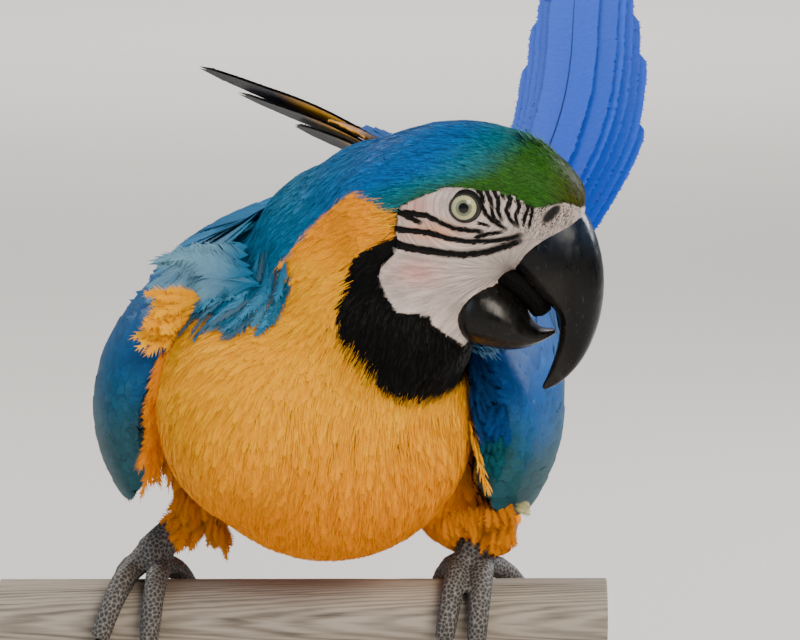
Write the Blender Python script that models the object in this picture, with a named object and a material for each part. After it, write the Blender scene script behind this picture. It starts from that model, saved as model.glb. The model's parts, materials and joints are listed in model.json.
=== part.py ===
"""Blue-and-yellow macaw on a cut branch, as a life-size display model. Metres, +Z up.

The bird crouches with its breast toward -Y and its head turned to its own left, so that the bill
points along +X. Left and right are the bird's own.
"""

import math

import bmesh
import bpy
import numpy as np
from mathutils import Matrix, Vector

GAP = 0.0003  # clear space left where two solids meet

# Stand
BASE_SIZE = (0.250, 0.200, 0.018)
BASE_CENTRE = (0.005, 0.072)
BASE_EDGE = 0.003
ROD_RADIUS = 0.004
ROD_X = (-0.050, 0.050)

# Perch: a weathered branch with knots, cut square at both ends
PERCH_RADIUS = 0.016
PERCH_START = Vector((-0.130, 0.050, 0.121))
PERCH_END = Vector((0.120, 0.042, 0.123))

# Trunk: an egg whose long axis runs back from the breast
TRUNK_CENTRE = Vector((0.005, 0.072, 0.223))
TRUNK_TURN = math.radians(20)
TRUNK_PITCH = math.radians(9)
TRUNK_SEMI = (0.118, 0.061, 0.064)
BACK = Vector(
    (
        math.sin(TRUNK_TURN) * math.cos(TRUNK_PITCH),
        math.cos(TRUNK_TURN) * math.cos(TRUNK_PITCH),
        math.sin(TRUNK_PITCH),
    )
)
LEFT = Vector((math.cos(TRUNK_TURN), -math.sin(TRUNK_TURN), 0.0))
UP = LEFT.cross(BACK)

# Head: its own frame has f along the bill, r toward the bird's right, u up, from between the eyes
HEAD_ORIGIN = Vector((0.0597, -0.0150, 0.3033))
HEAD_YAW = math.radians(-5)
EYE_SPREAD = 0.0222
EYE_RADIUS = 0.0082

# Tail: twelve graduated feathers, central pair longest
TAIL_LENGTHS = (0.440, 0.425, 0.390, 0.350, 0.305, 0.235)
TAIL_FEATHER_WIDTH = 0.025
TAIL_SPREAD = (0.0045, 0.0080, 0.0115, 0.0150, 0.0185, 0.0215)
TAIL_PITCH = 0.00095
FEATHER_THICKNESS = 0.0005
TAIL_ROOF = 0.25
TAIL_SIDE = Vector((0.93, -0.36, 0.0))
TAIL_LINE = (
    (0.048, 0.150, 0.2330),
    (0.064, 0.190, 0.2440),
    (0.084, 0.235, 0.2640),
    (0.102, 0.285, 0.2880),
    (0.113, 0.330, 0.3080),
    (0.119, 0.375, 0.3270),
    (0.122, 0.420, 0.3450),
    (0.125, 0.465, 0.3610),
    (0.128, 0.510, 0.3760),
    (0.131, 0.570, 0.3950),
)

# Wings: sections from the wrist back toward the tips, as (dorsal edge, bulge, ventral edge, thickness)
WING_LEFT = (
    ((0.067, 0.014, 0.236), (0.079, 0.010, 0.212), (0.069, 0.016, 0.187), 0.012),
    ((0.066, 0.024, 0.251), (0.0895, 0.020, 0.209), (0.0745, 0.028, 0.169), 0.026),
    ((0.060, 0.054, 0.275), (0.099, 0.058, 0.219), (0.0875, 0.056, 0.1655), 0.030),
    ((0.053, 0.092, 0.288), (0.099, 0.098, 0.230), (0.094, 0.094, 0.177), 0.025),
    ((0.045, 0.128, 0.2955), (0.0965, 0.136, 0.2435), (0.0945, 0.130, 0.197), 0.018),
    ((0.033, 0.158, 0.301), (0.086, 0.170, 0.265), (0.090, 0.166, 0.226), 0.012),
    ((0.018, 0.195, 0.306), (0.058, 0.208, 0.287), (0.074, 0.210, 0.256), 0.007),
    ((-0.002, 0.222, 0.312), (0.028, 0.238, 0.302), (0.048, 0.243, 0.279), 0.004),
)
WING_RIGHT = (
    ((-0.054, 0.024, 0.242), (-0.070, 0.018, 0.214), (-0.066, 0.024, 0.188), 0.012),
    ((-0.052, 0.036, 0.260), (-0.083, 0.034, 0.218), (-0.075, 0.040, 0.173), 0.024),
    ((-0.046, 0.068, 0.272), (-0.089, 0.072, 0.222), (-0.080, 0.072, 0.171), 0.026),
    ((-0.034, 0.108, 0.278), (-0.085, 0.118, 0.231), (-0.077, 0.118, 0.180), 0.022),
    ((-0.020, 0.150, 0.280), (-0.070, 0.164, 0.241), (-0.064, 0.164, 0.196), 0.016),
    ((-0.004, 0.190, 0.281), (-0.044, 0.208, 0.251), (-0.042, 0.210, 0.214), 0.010),
    ((0.012, 0.228, 0.281), (-0.016, 0.248, 0.258), (-0.018, 0.252, 0.230), 0.006),
    ((0.026, 0.262, 0.279), (0.008, 0.284, 0.264), (0.004, 0.288, 0.244), 0.004),
)
# The longest primaries reach beyond each wing's body: the longest one's centre line, the way the
# others step across from it, and whether each lies above (1) or below (-1) the one before
PRIMARIES = {
    "left": (
        ((0.034, 0.214, 0.2975), (0.006, 0.246, 0.3085), (-0.026, 0.278, 0.3175), (-0.057, 0.305, 0.3265)),
        Vector((0.75, 0.35, -0.55)),
        -1,
    ),
    "right": (
        ((-0.006, 0.258, 0.2400), (0.008, 0.294, 0.2490), (0.021, 0.328, 0.2580), (0.032, 0.356, 0.2640)),
        Vector((0.60, -0.20, 0.75)),
        1,
    ),
}
PRIMARY_COUNT = 3
PRIMARY_WIDTHS = (0.018, 0.024, 0.022, 0.015, 0.004)
PRIMARY_STEP = 0.0112
PRIMARY_STACK = 0.0026
PRIMARY_SHORTER = 0.16

# Feet: ankle, then each toe as points along its centre with radii
ANKLE = {"left": Vector((0.0665, 0.0480, 0.1560)), "right": Vector((-0.0560, 0.0550, 0.1580))}
KNUCKLE = {"left": Vector((0.0640, 0.0430, 0.1480)), "right": Vector((-0.0690, 0.0470, 0.1480))}
TOE_RADIUS = 0.0048


def clear_scene():
    for item in list(bpy.context.scene.objects):
        bpy.data.objects.remove(item, do_unlink=True)


def material(name, colour, roughness, metallic=0.0):
    """A plain Principled material with the colour as linear RGB."""
    made = bpy.data.materials.get(name) or bpy.data.materials.new(name)
    made.use_nodes = True
    shader = made.node_tree.nodes["Principled BSDF"]
    shader.inputs["Base Color"].default_value = (*colour, 1.0)
    shader.inputs["Roughness"].default_value = roughness
    shader.inputs["Metallic"].default_value = metallic
    made.diffuse_color = (*colour, 1.0)
    return made


BLUE = ("blue_plumage", (0.010, 0.160, 0.420), 0.6)
YELLOW = ("yellow_plumage", (0.900, 0.360, 0.010), 0.7)
HORN = ("black_horn", (0.012, 0.012, 0.014), 0.3)
EYE = ("pale_eye", (0.560, 0.580, 0.320), 0.1)
SKIN = ("grey_foot_scale", (0.130, 0.120, 0.115), 0.6)
TONGUE = ("dark_tongue", (0.050, 0.040, 0.040), 0.5)
BARK = ("weathered_wood", (0.260, 0.220, 0.180), 0.85)
STAND = ("oiled_oak", (0.230, 0.130, 0.060), 0.5)
STEEL = ("brushed_steel_rod", (0.560, 0.560, 0.570), 0.35, 1.0)


def add_mesh(name, points, faces, look):
    """A new object from points and faces, with normals outward."""
    mesh = bpy.data.meshes.new(name)
    mesh.from_pydata([tuple(p) for p in points], [], faces)
    work = bmesh.new()
    work.from_mesh(mesh)
    bmesh.ops.recalc_face_normals(work, faces=work.faces)
    work.to_mesh(mesh)
    work.free()
    item = bpy.data.objects.new(name, mesh)
    bpy.context.scene.collection.objects.link(item)
    mesh.materials.append(material(*look))
    return item


def loft(name, rings, look):
    """A closed skin over rings of equal size, with a centre point closing each end."""
    count = len(rings[0])
    points = [p for ring in rings for p in ring]
    faces = []
    for row in range(len(rings) - 1):
        for k in range(count):
            a = row * count + k
            b = row * count + (k + 1) % count
            faces.append((a, b, b + count, a + count))
    for row, turn in ((0, 1), (len(rings) - 1, -1)):
        middle = sum(rings[row], Vector()) / count
        points.append(middle)
        tip = len(points) - 1
        for k in range(count):
            a = row * count + k
            b = row * count + (k + 1) % count
            faces.append((tip, a, b)[::turn])
    return add_mesh(name, points, faces, look)


def smooth_line(points, count):
    """Catmull-Rom line through the points, resampled to count points."""
    pts = [np.array(p, float) for p in points]
    pts = [2 * pts[0] - pts[1], *pts, 2 * pts[-1] - pts[-2]]
    fine = []
    for i in range(1, len(pts) - 2):
        for t in np.linspace(0, 1, 24, endpoint=False):
            a, b, c, d = pts[i - 1 : i + 3]
            fine.append(
                0.5
                * (
                    2 * b
                    + (c - a) * t
                    + (2 * a - 5 * b + 4 * c - d) * t**2
                    + (3 * b - a - 3 * c + d) * t**3
                )
            )
    fine.append(pts[-2])
    fine = np.array(fine)
    run = np.concatenate([[0], np.cumsum(np.linalg.norm(np.diff(fine, axis=0), axis=1))])
    at = np.linspace(0, run[-1], count)
    return [Vector([np.interp(s, run, fine[:, i]) for i in range(fine.shape[1])]) for s in at]


def smooth_values(values, count):
    """The values eased between their even stations, at count stations."""
    return np.interp(np.linspace(0, 1, count), np.linspace(0, 1, len(values)), values)


def frames(line, side):
    """(tangent, side, normal) at each point of a line, with the side kept near the given one."""
    found = []
    for i in range(len(line)):
        tangent = (line[min(i + 1, len(line) - 1)] - line[max(i - 1, 0)]).normalized()
        across = (side - tangent * side.dot(tangent)).normalized()
        found.append((tangent, across, tangent.cross(across)))
    return found


def tube(name, points, radii, look, sides=10, stations=12, side=Vector((1, 0, 0)), flat=1.0):
    """A round or flattened tube along a smooth line, with domed ends."""
    line = smooth_line(points, stations)
    width = smooth_values(radii, stations)
    rings = []
    for here, r, (_, across, normal) in zip(line, width, frames(line, side)):
        ring = []
        for k in range(sides):
            a = 2 * math.pi * k / sides
            ring.append(here + across * (r * math.cos(a)) + normal * (r * flat * math.sin(a)))
        rings.append(ring)
    return loft(name, rings, look)


def ellipsoid(name, centre, axes, semi, look, rings=16, sides=24):
    """An ellipsoid on three unit axes."""
    rows = []
    for i in range(1, rings):
        a = math.pi * i / rings
        middle = centre + axes[0] * (semi[0] * math.cos(a))
        row = []
        for k in range(sides):
            b = 2 * math.pi * k / sides
            reach = math.sin(a)
            row.append(
                middle
                + axes[1] * (semi[1] * reach * math.cos(b))
                + axes[2] * (semi[2] * reach * math.sin(b))
            )
        rows.append(row)
    return loft(name, rows, look)


def apply_modifiers(item):
    """Turns the object's modifiers into its own mesh."""
    graph = bpy.context.evaluated_depsgraph_get()
    made = bpy.data.meshes.new_from_object(item.evaluated_get(graph))
    item.modifiers.clear()
    item.data = made


def fuse(name, parts, voxel, smoothing, share):
    """The parts as one smooth closed mesh, thinned to this share of its faces."""
    points, faces = [], []
    for part in parts:
        first = len(points)
        points += [tuple(v.co) for v in part.data.vertices]
        faces += [tuple(first + i for i in f.vertices) for f in part.data.polygons]
    look = parts[0].data.materials[0]
    for part in parts:
        bpy.data.objects.remove(part, do_unlink=True)
    mesh = bpy.data.meshes.new(name)
    mesh.from_pydata(points, [], faces)
    mesh.materials.append(look)
    item = bpy.data.objects.new(name, mesh)
    bpy.context.scene.collection.objects.link(item)
    remesh = item.modifiers.new("Remesh", "REMESH")
    remesh.mode = "VOXEL"
    remesh.voxel_size = voxel
    relax = item.modifiers.new("Smooth", "SMOOTH")
    relax.factor = 0.5
    relax.iterations = smoothing
    thin = item.modifiers.new("Decimate", "DECIMATE")
    thin.ratio = share
    apply_modifiers(item)
    return item


def grown(item, reach):
    """A hidden copy of the solid, larger all over by this reach."""
    copy = bpy.data.objects.new(item.name + "_cutter", item.data.copy())
    bpy.context.scene.collection.objects.link(copy)
    work = bmesh.new()
    work.from_mesh(copy.data)
    work.normal_update()
    moves = [v.normal * min(v.calc_shell_factor(), 2.5) for v in work.verts]
    for vert, move in zip(work.verts, moves):
        vert.co += move * reach
    work.to_mesh(copy.data)
    work.free()
    copy.hide_render = True
    copy.display_type = "WIRE"
    return copy


def keep_largest(item):
    """Leaves only the solid's largest connected piece."""
    work = bmesh.new()
    work.from_mesh(item.data)
    work.verts.ensure_lookup_table()
    left = set(work.verts)
    groups = []
    while left:
        stack = [left.pop()]
        group = set(stack)
        while stack:
            for edge in stack.pop().link_edges:
                for vert in edge.verts:
                    if vert in left:
                        left.remove(vert)
                        group.add(vert)
                        stack.append(vert)
        groups.append(group)
    groups.sort(key=len)
    for group in groups[:-1]:
        bmesh.ops.delete(work, geom=list(group), context="VERTS")
    bmesh.ops.dissolve_degenerate(work, dist=0.00002, edges=work.edges)
    bmesh.ops.triangulate(work, faces=work.faces)
    work.to_mesh(item.data)
    work.free()


def cut(item, cutter, operation="DIFFERENCE"):
    """Cuts one solid by another, then drops the cutter."""
    step = item.modifiers.new("Cut", "BOOLEAN")
    step.operation = operation
    step.solver = "EXACT"
    step.object = cutter
    apply_modifiers(item)
    bpy.data.objects.remove(cutter, do_unlink=True)
    keep_largest(item)


def half_space(point, normal, size=0.6):
    """A large hidden box whose one face passes through the point, on the normal's side."""
    normal = normal.normalized()
    turn = normal.to_track_quat("Z", "Y").to_matrix().to_4x4()
    corners = []
    for z in (0, size):
        for x, y in ((-size, -size), (size, -size), (size, size), (-size, size)):
            corners.append(point + turn @ Vector((x, y, z)))
    faces = [(0, 3, 2, 1), (4, 5, 6, 7), (0, 1, 5, 4), (1, 2, 6, 5), (2, 3, 7, 6), (3, 0, 4, 7)]
    box = add_mesh("half_space", corners, faces, BLUE)
    box.hide_render = True
    box.display_type = "WIRE"
    return box


def part_off(whole, name, point, normal, look):
    """Moves what lies on the normal's side of a plane to a new solid, with a gap between the two."""
    normal = normal.normalized()
    piece = bpy.data.objects.new(name, whole.data.copy())
    bpy.context.scene.collection.objects.link(piece)
    cut(piece, half_space(point + normal * GAP / 2, normal), "INTERSECT")
    cut(whole, half_space(point - normal * GAP / 2, normal))
    piece.data.materials.clear()
    piece.data.materials.append(material(*look))
    return piece


def on_head(f, r, u):
    """A point of the head's own frame, given in millimetres, in the world."""
    turned = Matrix.Rotation(HEAD_YAW, 3, "Z") @ Vector((f, -r, u))
    return HEAD_ORIGIN + turned * 0.001


def head_blank():
    """The head from nape to bill base, lofted from upright sections."""
    # f, top, bottom, half-width, height of the widest level
    sections = (
        (-52, 4, -22, 12, -8),
        (-46, 13.5, -36, 20, -8),
        (-36, 21.5, -47, 25.0, -9),
        (-24, 27.0, -54, 26.4, -9),
        (-10, 31.0, -53, 25.8, -8),
        (4, 31.5, -43, 24.4, -7),
        (16, 29.5, -32, 22.6, -7),
        (27, 26.0, -24, 20.6, -6),
        (37, 19.5, -18, 18.2, -4),
        (44, 12.5, -12, 15.6, -2),
        (49.5, 4.5, -7, 11.0, -1.5),
    )
    rings = []
    fine = smooth_line(sections, 24)
    for f, top, bottom, half, level in fine:
        ring = []
        for k in range(24):
            a = 2 * math.pi * k / 24
            side, rise = math.cos(a), math.sin(a)
            reach = top - level if rise > 0 else level - bottom
            ring.append(
                on_head(
                    f,
                    half * math.copysign(abs(side) ** 0.92, side),
                    level + reach * math.copysign(abs(rise) ** 0.92, rise),
                )
            )
        rings.append(ring)
    return loft("head_blank", rings, YELLOW)


def flesh():
    """Head, neck, trunk and rump as one blended body."""
    axes = (BACK, LEFT, UP)
    parts = [ellipsoid("trunk_blank", TRUNK_CENTRE, axes, TRUNK_SEMI, YELLOW), head_blank()]
    plain = (Vector((1, 0, 0)), Vector((0, 1, 0)), Vector((0, 0, 1)))
    lumps = (
        # centre, semi-axes
        ((0.006, 0.026, 0.209), (0.060, 0.056, 0.060)),  # breast
        ((0.002, 0.040, 0.250), (0.050, 0.054, 0.044)),  # shoulders
        ((0.017, 0.016, 0.275), (0.043, 0.044, 0.041)),  # hind neck
        ((0.029, 0.002, 0.289), (0.036, 0.035, 0.037)),  # nape
        ((0.024, 0.002, 0.2515), (0.042, 0.038, 0.044)),  # neck side
        ((0.034, -0.009, 0.251), (0.030, 0.028, 0.031)),  # throat
        ((0.0425, -0.012, 0.2435), (0.022, 0.021, 0.019)),  # chin
        ((-0.006, 0.070, 0.256), (0.044, 0.058, 0.032)),  # mantle
        ((0.003, 0.048, 0.184), (0.050, 0.054, 0.036)),  # belly
        ((0.004, 0.018, 0.236), (0.048, 0.048, 0.040)),  # crop
    )
    for i, (centre, semi) in enumerate(lumps):
        parts.append(ellipsoid(f"lump_{i}", Vector(centre), plain, semi, YELLOW))
    rump = ((0.022, 0.120, 0.238), (0.042, 0.162, 0.243), (0.060, 0.196, 0.248), (0.074, 0.222, 0.256))
    parts.append(tube("rump_blank", rump, (0.056, 0.045, 0.027, 0.012), YELLOW, 20, 14, LEFT, 0.68))
    return fuse("trunk", parts, 0.0030, 18, 0.055)


def thigh(side):
    """A feathered thigh tuft that narrows to the ankle."""
    if side == "left":
        line = ((0.050, 0.072, 0.196), (0.060, 0.062, 0.178), (0.0685, 0.053, 0.1615), (0.0745, 0.047, 0.1475))
        radii = (0.022, 0.0270, 0.0240, 0.010)
    else:
        line = ((-0.032, 0.076, 0.196), (-0.040, 0.068, 0.178), (-0.046, 0.063, 0.166), (-0.050, 0.060, 0.1575))
        radii = (0.025, 0.024, 0.019, 0.009)
    return tube(f"thigh_{side}", line, radii, YELLOW, 14, 7, Vector((1, 0, 0)))


def upper_mandible():
    """The hooked upper bill, from its base inside the face to the tip."""
    # outer edge (f, u), inner edge (f, u), half-width
    sections = (
        (43.5, 2.0, 12.0, -20.0, 14.0),
        (49.8, -6.5, 17.5, -25.5, 15.8),
        (53.8, -16.0, 22.0, -30.0, 16.0),
        (56.0, -26.0, 27.5, -35.5, 15.2),
        (56.3, -36.0, 33.0, -40.5, 13.4),
        (55.0, -46.0, 38.0, -45.5, 11.0),
        (52.0, -54.5, 39.0, -51.5, 8.8),
        (48.0, -61.5, 38.0, -57.5, 6.8),
        (43.0, -67.0, 36.4, -62.5, 4.8),
        (37.6, -71.2, 34.2, -67.8, 2.8),
        (32.6, -73.2, 31.8, -72.2, 0.8),
    )
    rings = []
    for of, ou, nf, nu, half in smooth_line(sections, 16):
        outer, inner = Vector((of, ou)), Vector((nf, nu))
        ring = []
        for k in range(14):
            a = 2 * math.pi * k / 14
            along = 0.5 + 0.5 * math.cos(a)
            narrow = math.copysign(abs(math.sin(a)) ** 0.85, math.sin(a))
            here = inner + (outer - inner) * along
            # the culmen side is narrower than the cutting edges
            ring.append(on_head(here.x, half * narrow * (1.0 - 0.16 * along), here.y))
        rings.append(ring)
    return loft("upper_mandible", rings, HORN)


def lower_mandible():
    """The scoop of the lower bill."""
    # upper edge (f, u), lower edge (f, u), half-width
    sections = (
        (9.0, -30.5, -2.5, -46.0, 14.0),
        (14.0, -31.5, -4.2, -51.5, 16.4),
        (18.5, -34.5, -0.5, -56.5, 17.2),
        (22.3, -38.5, 7.5, -58.5, 16.8),
        (25.6, -43.5, 15.5, -60.2, 15.0),
        (27.6, -48.5, 22.5, -60.2, 12.8),
        (30.6, -51.6, 28.5, -58.3, 10.2),
        (34.2, -52.2, 33.4, -55.8, 7.4),
        (37.4, -52.0, 37.2, -53.4, 4.4),
    )
    rings = []
    for tf, tu, bf, bu, half in smooth_line(sections, 12):
        upper, lower = Vector((tf, tu)), Vector((bf, bu))
        ring = []
        for k in range(14):
            a = 2 * math.pi * k / 14
            along = 0.5 + 0.5 * math.cos(a)
            here = lower + (upper - lower) * along
            ring.append(on_head(here.x, half * math.sin(a), here.y))
        rings.append(ring)
    return loft("lower_mandible", rings, HORN)


def tongue():
    """The blunt tongue seen between the mandibles."""
    line = [on_head(17.0, 0, -30.0), on_head(24.0, 0, -34.5), on_head(29.0, 0, -39.5), on_head(31.4, 0, -44.6)]
    return tube("tongue", line, (0.0060, 0.0066, 0.0060, 0.0034), TONGUE, 12, 8, Vector((0, 1, 0)), 0.62)


def eye(side):
    """An eyeball set in the side of the face."""
    r = EYE_SPREAD * 1000 * (1 if side == "right" else -1)
    centre = on_head(0.0, r - math.copysign(3.4, r), 0.0)
    axes = (
        (on_head(0, 1, 0) - on_head(0, 0, 0)).normalized(),
        (on_head(1, 0, 0) - on_head(0, 0, 0)).normalized(),
        Vector((0, 0, 1)),
    )
    return ellipsoid(f"eye_{side}", centre, axes, (EYE_RADIUS,) * 3, EYE, 8, 12)


def wing(name, stations):
    """A folded wing as a curved slab over the flank, thickest at the wrist."""
    flat = [[*d, *m, *v, t] for d, m, v, t in stations]
    rings = []
    count = 15
    rows = smooth_rows(flat, count)
    for row in rows:
        dorsal, bulge, ventral = Vector(row[0:3]), Vector(row[3:6]), Vector(row[6:9])
        thick = row[9]
        control = bulge * 2 - (dorsal + ventral) / 2
        inward = ((dorsal + ventral) / 2 - bulge).normalized()
        outer, inner = [], []
        steps = 7
        for k in range(steps + 1):
            t = k / steps
            here = dorsal * (1 - t) ** 2 + control * (2 * t * (1 - t)) + ventral * t**2
            deep = thick * (1 - abs(2 * t - 1) ** 3) ** 0.5
            outer.append(here)
            if 0 < k < steps:
                inner.append(here + inward * deep)
        rings.append(outer + inner[::-1])
    return loft(name, rings, BLUE)


def smooth_rows(rows, count):
    """Catmull-Rom between rows of numbers, at even row steps."""
    rows = [np.array(r, float) for r in rows]
    rows = [2 * rows[0] - rows[1], *rows, 2 * rows[-1] - rows[-2]]
    spans = len(rows) - 3
    found = []
    for s in np.linspace(0, spans, count):
        i = min(int(s), spans - 1)
        t = s - i
        a, b, c, d = rows[i : i + 4]
        found.append(
            0.5
            * (
                2 * b
                + (c - a) * t
                + (2 * a - 5 * b + 4 * c - d) * t**2
                + (3 * b - a - 3 * c + d) * t**3
            )
        )
    return found


def blade(name, line, widths, side, look, thickness, camber=0.12):
    """A long feather as a thin cambered slab along a line."""
    rings = []
    for here, width, (_, across, normal) in zip(line, widths, frames(line, side)):
        ring = []
        for x, z in ((-0.5, -0.5), (0, -0.5), (0.5, -0.5), (0.5, 0.5), (0, 0.5), (-0.5, 0.5)):
            arch = camber * width * (0.5 - 2 * x * x)
            ring.append(here + across * (x * width) - normal * (z * thickness - arch) * -1)
        rings.append(ring)
    return loft(name, rings, look)


def tail_station(s, length):
    """The share of full width that a tail feather has at this distance from its root."""
    tip = 0.16
    share = s / length
    end = 1.0 if share < 1 - tip else math.sqrt(max(0.0, 1 - ((share - 1 + tip) / tip) ** 2))
    return min(1.0, 0.5 + 2.0 * share) * max(end, 0.12)


def tail_feathers():
    """Twelve feathers stacked from the central pair down to the short outer pair, as a low roof."""
    # every feather bends at the same stations of the spine, so that the stack never crosses itself
    spine = smooth_line(TAIL_LINE, 9)
    knots = np.concatenate([[0], np.cumsum([(b - a).length for a, b in zip(spine[:-1], spine[1:])])])
    turned = [(a, n if n.z > 0 else -n) for _, a, n in frames(spine, TAIL_SIDE)]
    for k in range(6):
        for sign, name in ((-1, "right"), (1, "left")):
            layer = 2 * k + (0 if sign < 0 else 1)
            length = TAIL_LENGTHS[k]
            ends = [at for at in knots if at < 0.82 * length]
            ends += [share * length for share in (0.84, 0.92, 0.975, 1.0)]
            rings = []
            for s in ends:
                i = min(int(np.searchsorted(knots, s, side="right")) - 1, len(knots) - 2)
                part = (s - knots[i]) / (knots[i + 1] - knots[i])
                middle = spine[i].lerp(spine[i + 1], part)
                across = turned[i][0].lerp(turned[i + 1][0], part)
                up = turned[i][1].lerp(turned[i + 1][1], part)
                fan = 0.45 + 0.55 * min(1.0, s / 0.20)
                offset = sign * TAIL_SPREAD[k] * fan
                width = TAIL_FEATHER_WIDTH * tail_station(s, length)
                ring = []
                for x, side in ((-0.5, 1), (0, 1), (0.5, 1), (0.5, -1), (0, -1), (-0.5, -1)):
                    out = offset + x * width
                    drop = layer * TAIL_PITCH + TAIL_ROOF * math.hypot(out, 0.025)
                    ring.append(middle + across * out - up * (drop - side * FEATHER_THICKNESS / 2))
                rings.append(ring)
            yield loft(f"tail_feather_{name}_{k + 1}", rings, BLUE)


def primaries(side):
    """The long wing feathers that reach past the wing's body, each shorter than the one before."""
    points, across, stack = PRIMARIES[side]
    made = []
    for k in range(PRIMARY_COUNT):
        line = smooth_line(points, 40)
        line = line[: int(round(40 * (1 - PRIMARY_SHORTER * k)))]
        line = smooth_line(line[::3] + [line[-1]], 8)
        moved = []
        for here, (_, sideways, normal) in zip(line, frames(line, across)):
            up = normal if normal.z > 0 else -normal
            moved.append(here + sideways * (PRIMARY_STEP * k) + up * (stack * PRIMARY_STACK * k))
        name = f"wing_{side}_primary_{k + 1}"
        made.append(blade(name, moved, smooth_values(PRIMARY_WIDTHS, 8), across, BLUE, 0.0014, 0.05))
    return made


def toe(name, points, radii):
    return tube(name, points, radii, SKIN, 12, 16, Vector((1, 0, 0)))


def around_perch(x, start, end, count, lean=0.0, reach=None):
    """Points round the perch at this x, by angle from straight up toward the front, in degrees."""
    reach = reach or PERCH_RADIUS + TOE_RADIUS + 0.0006
    share = (x - PERCH_START.x) / (PERCH_END.x - PERCH_START.x)
    centre = PERCH_START.lerp(PERCH_END, share)
    found = []
    for i in range(count):
        a = math.radians(start + (end - start) * i / (count - 1))
        found.append(
            centre
            + Vector((lean * i / (count - 1), -reach * math.sin(a), reach * math.cos(a)))
            + Vector((x - centre.x, 0, 0))
        )
    return found


def foot(side):
    """Tarsus and four toes, two forward over the perch and two behind."""
    ankle, knuckle = ANKLE[side], KNUCKLE[side]
    parts = [tube("tarsus", (ankle, (ankle + knuckle) / 2, knuckle), (0.0074, 0.0070, 0.0070), SKIN, 12, 8)]
    x = knuckle.x
    if side == "left":
        toes = (
            (x - 0.0050, 8, 104, -0.0060),
            (x + 0.0050, 8, 112, -0.0030),
            (x + 0.0070, -12, -70, 0.0150),
            (x - 0.0060, -12, -76, -0.0080),
        )
    else:
        toes = (
            (x - 0.0060, 8, 102, -0.0130),
            (x + 0.0050, 8, 110, -0.0040),
            (x + 0.0070, -12, -74, 0.0110),
            (x - 0.0060, -12, -66, -0.0070),
        )
    claws = []
    for i, (at, start, end, lean) in enumerate(toes):
        line = around_perch(at, start, end, 6, lean)
        parts.append(toe("toe", [knuckle, *line], (0.0056, 0.0050, 0.0049, 0.0048, 0.0046, 0.0044, 0.0042)))
        after = end + (46 if end > 0 else -46)
        hook = around_perch(at + lean, end + (4 if end > 0 else -4), after, 5, 0.0, PERCH_RADIUS + 0.0040)
        claws.append(
            tube(f"claw_{side}_{i + 1}", hook, (0.0030, 0.0028, 0.0022, 0.0014, 0.0005), HORN, 6, 5)
        )
    whole = fuse(f"foot_{side}", parts, 0.0011, 3, 0.035)
    return whole, claws


def perch():
    """A weathered branch with a slight bend and two knots."""
    line = [PERCH_START.lerp(PERCH_END, t) for t in (0, 0.2, 0.4, 0.6, 0.8, 1.0)]
    rings = []
    stations = 12
    for i, here in enumerate(smooth_line(line, stations)):
        ring = []
        for k in range(14):
            a = 2 * math.pi * k / 14
            knot = 0.0008 * math.exp(-(((i - 6) / 0.9) ** 2)) * max(0.0, math.cos(a - 1.2))
            grain = 0.0004 * math.sin(3 * a + 0.5) * math.sin(i * 0.5)
            r = PERCH_RADIUS - 0.0005 + knot + grain
            ring.append(here + Vector((0, r * math.cos(a), r * math.sin(a))))
        rings.append(ring)
    return loft("perch", rings, BARK)


def stand():
    """A flat base and two rods under the perch."""
    w, d, h = BASE_SIZE
    cx, cy = BASE_CENTRE
    rings = []
    for z, inset in ((0, BASE_EDGE / 3), (BASE_EDGE / 3, 0), (h - BASE_EDGE, 0), (h, BASE_EDGE)):
        ring = []
        for sx, sy, turn in ((1, 1, 0), (-1, 1, 90), (-1, -1, 180), (1, -1, 270)):
            for step in range(4):
                a = math.radians(turn + step * 30)
                r = 0.016
                ring.append(
                    Vector(
                        (
                            cx + sx * (w / 2 - r) + (r - inset) * math.cos(a),
                            cy + sy * (d / 2 - r) + (r - inset) * math.sin(a),
                            z,
                        )
                    )
                )
        rings.append(ring)
    made = [loft("stand_base", rings, STAND)]
    for i, x in enumerate(ROD_X):
        share = (x - PERCH_START.x) / (PERCH_END.x - PERCH_START.x)
        foot_at = PERCH_START.lerp(PERCH_END, share)
        low = Vector((x, foot_at.y, h + GAP))
        high = Vector((x, foot_at.y, foot_at.z - 0.004))
        made.append(tube(f"stand_rod_{i + 1}", (low, high), (ROD_RADIUS, ROD_RADIUS), STEEL, 12, 2))
    return made


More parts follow.
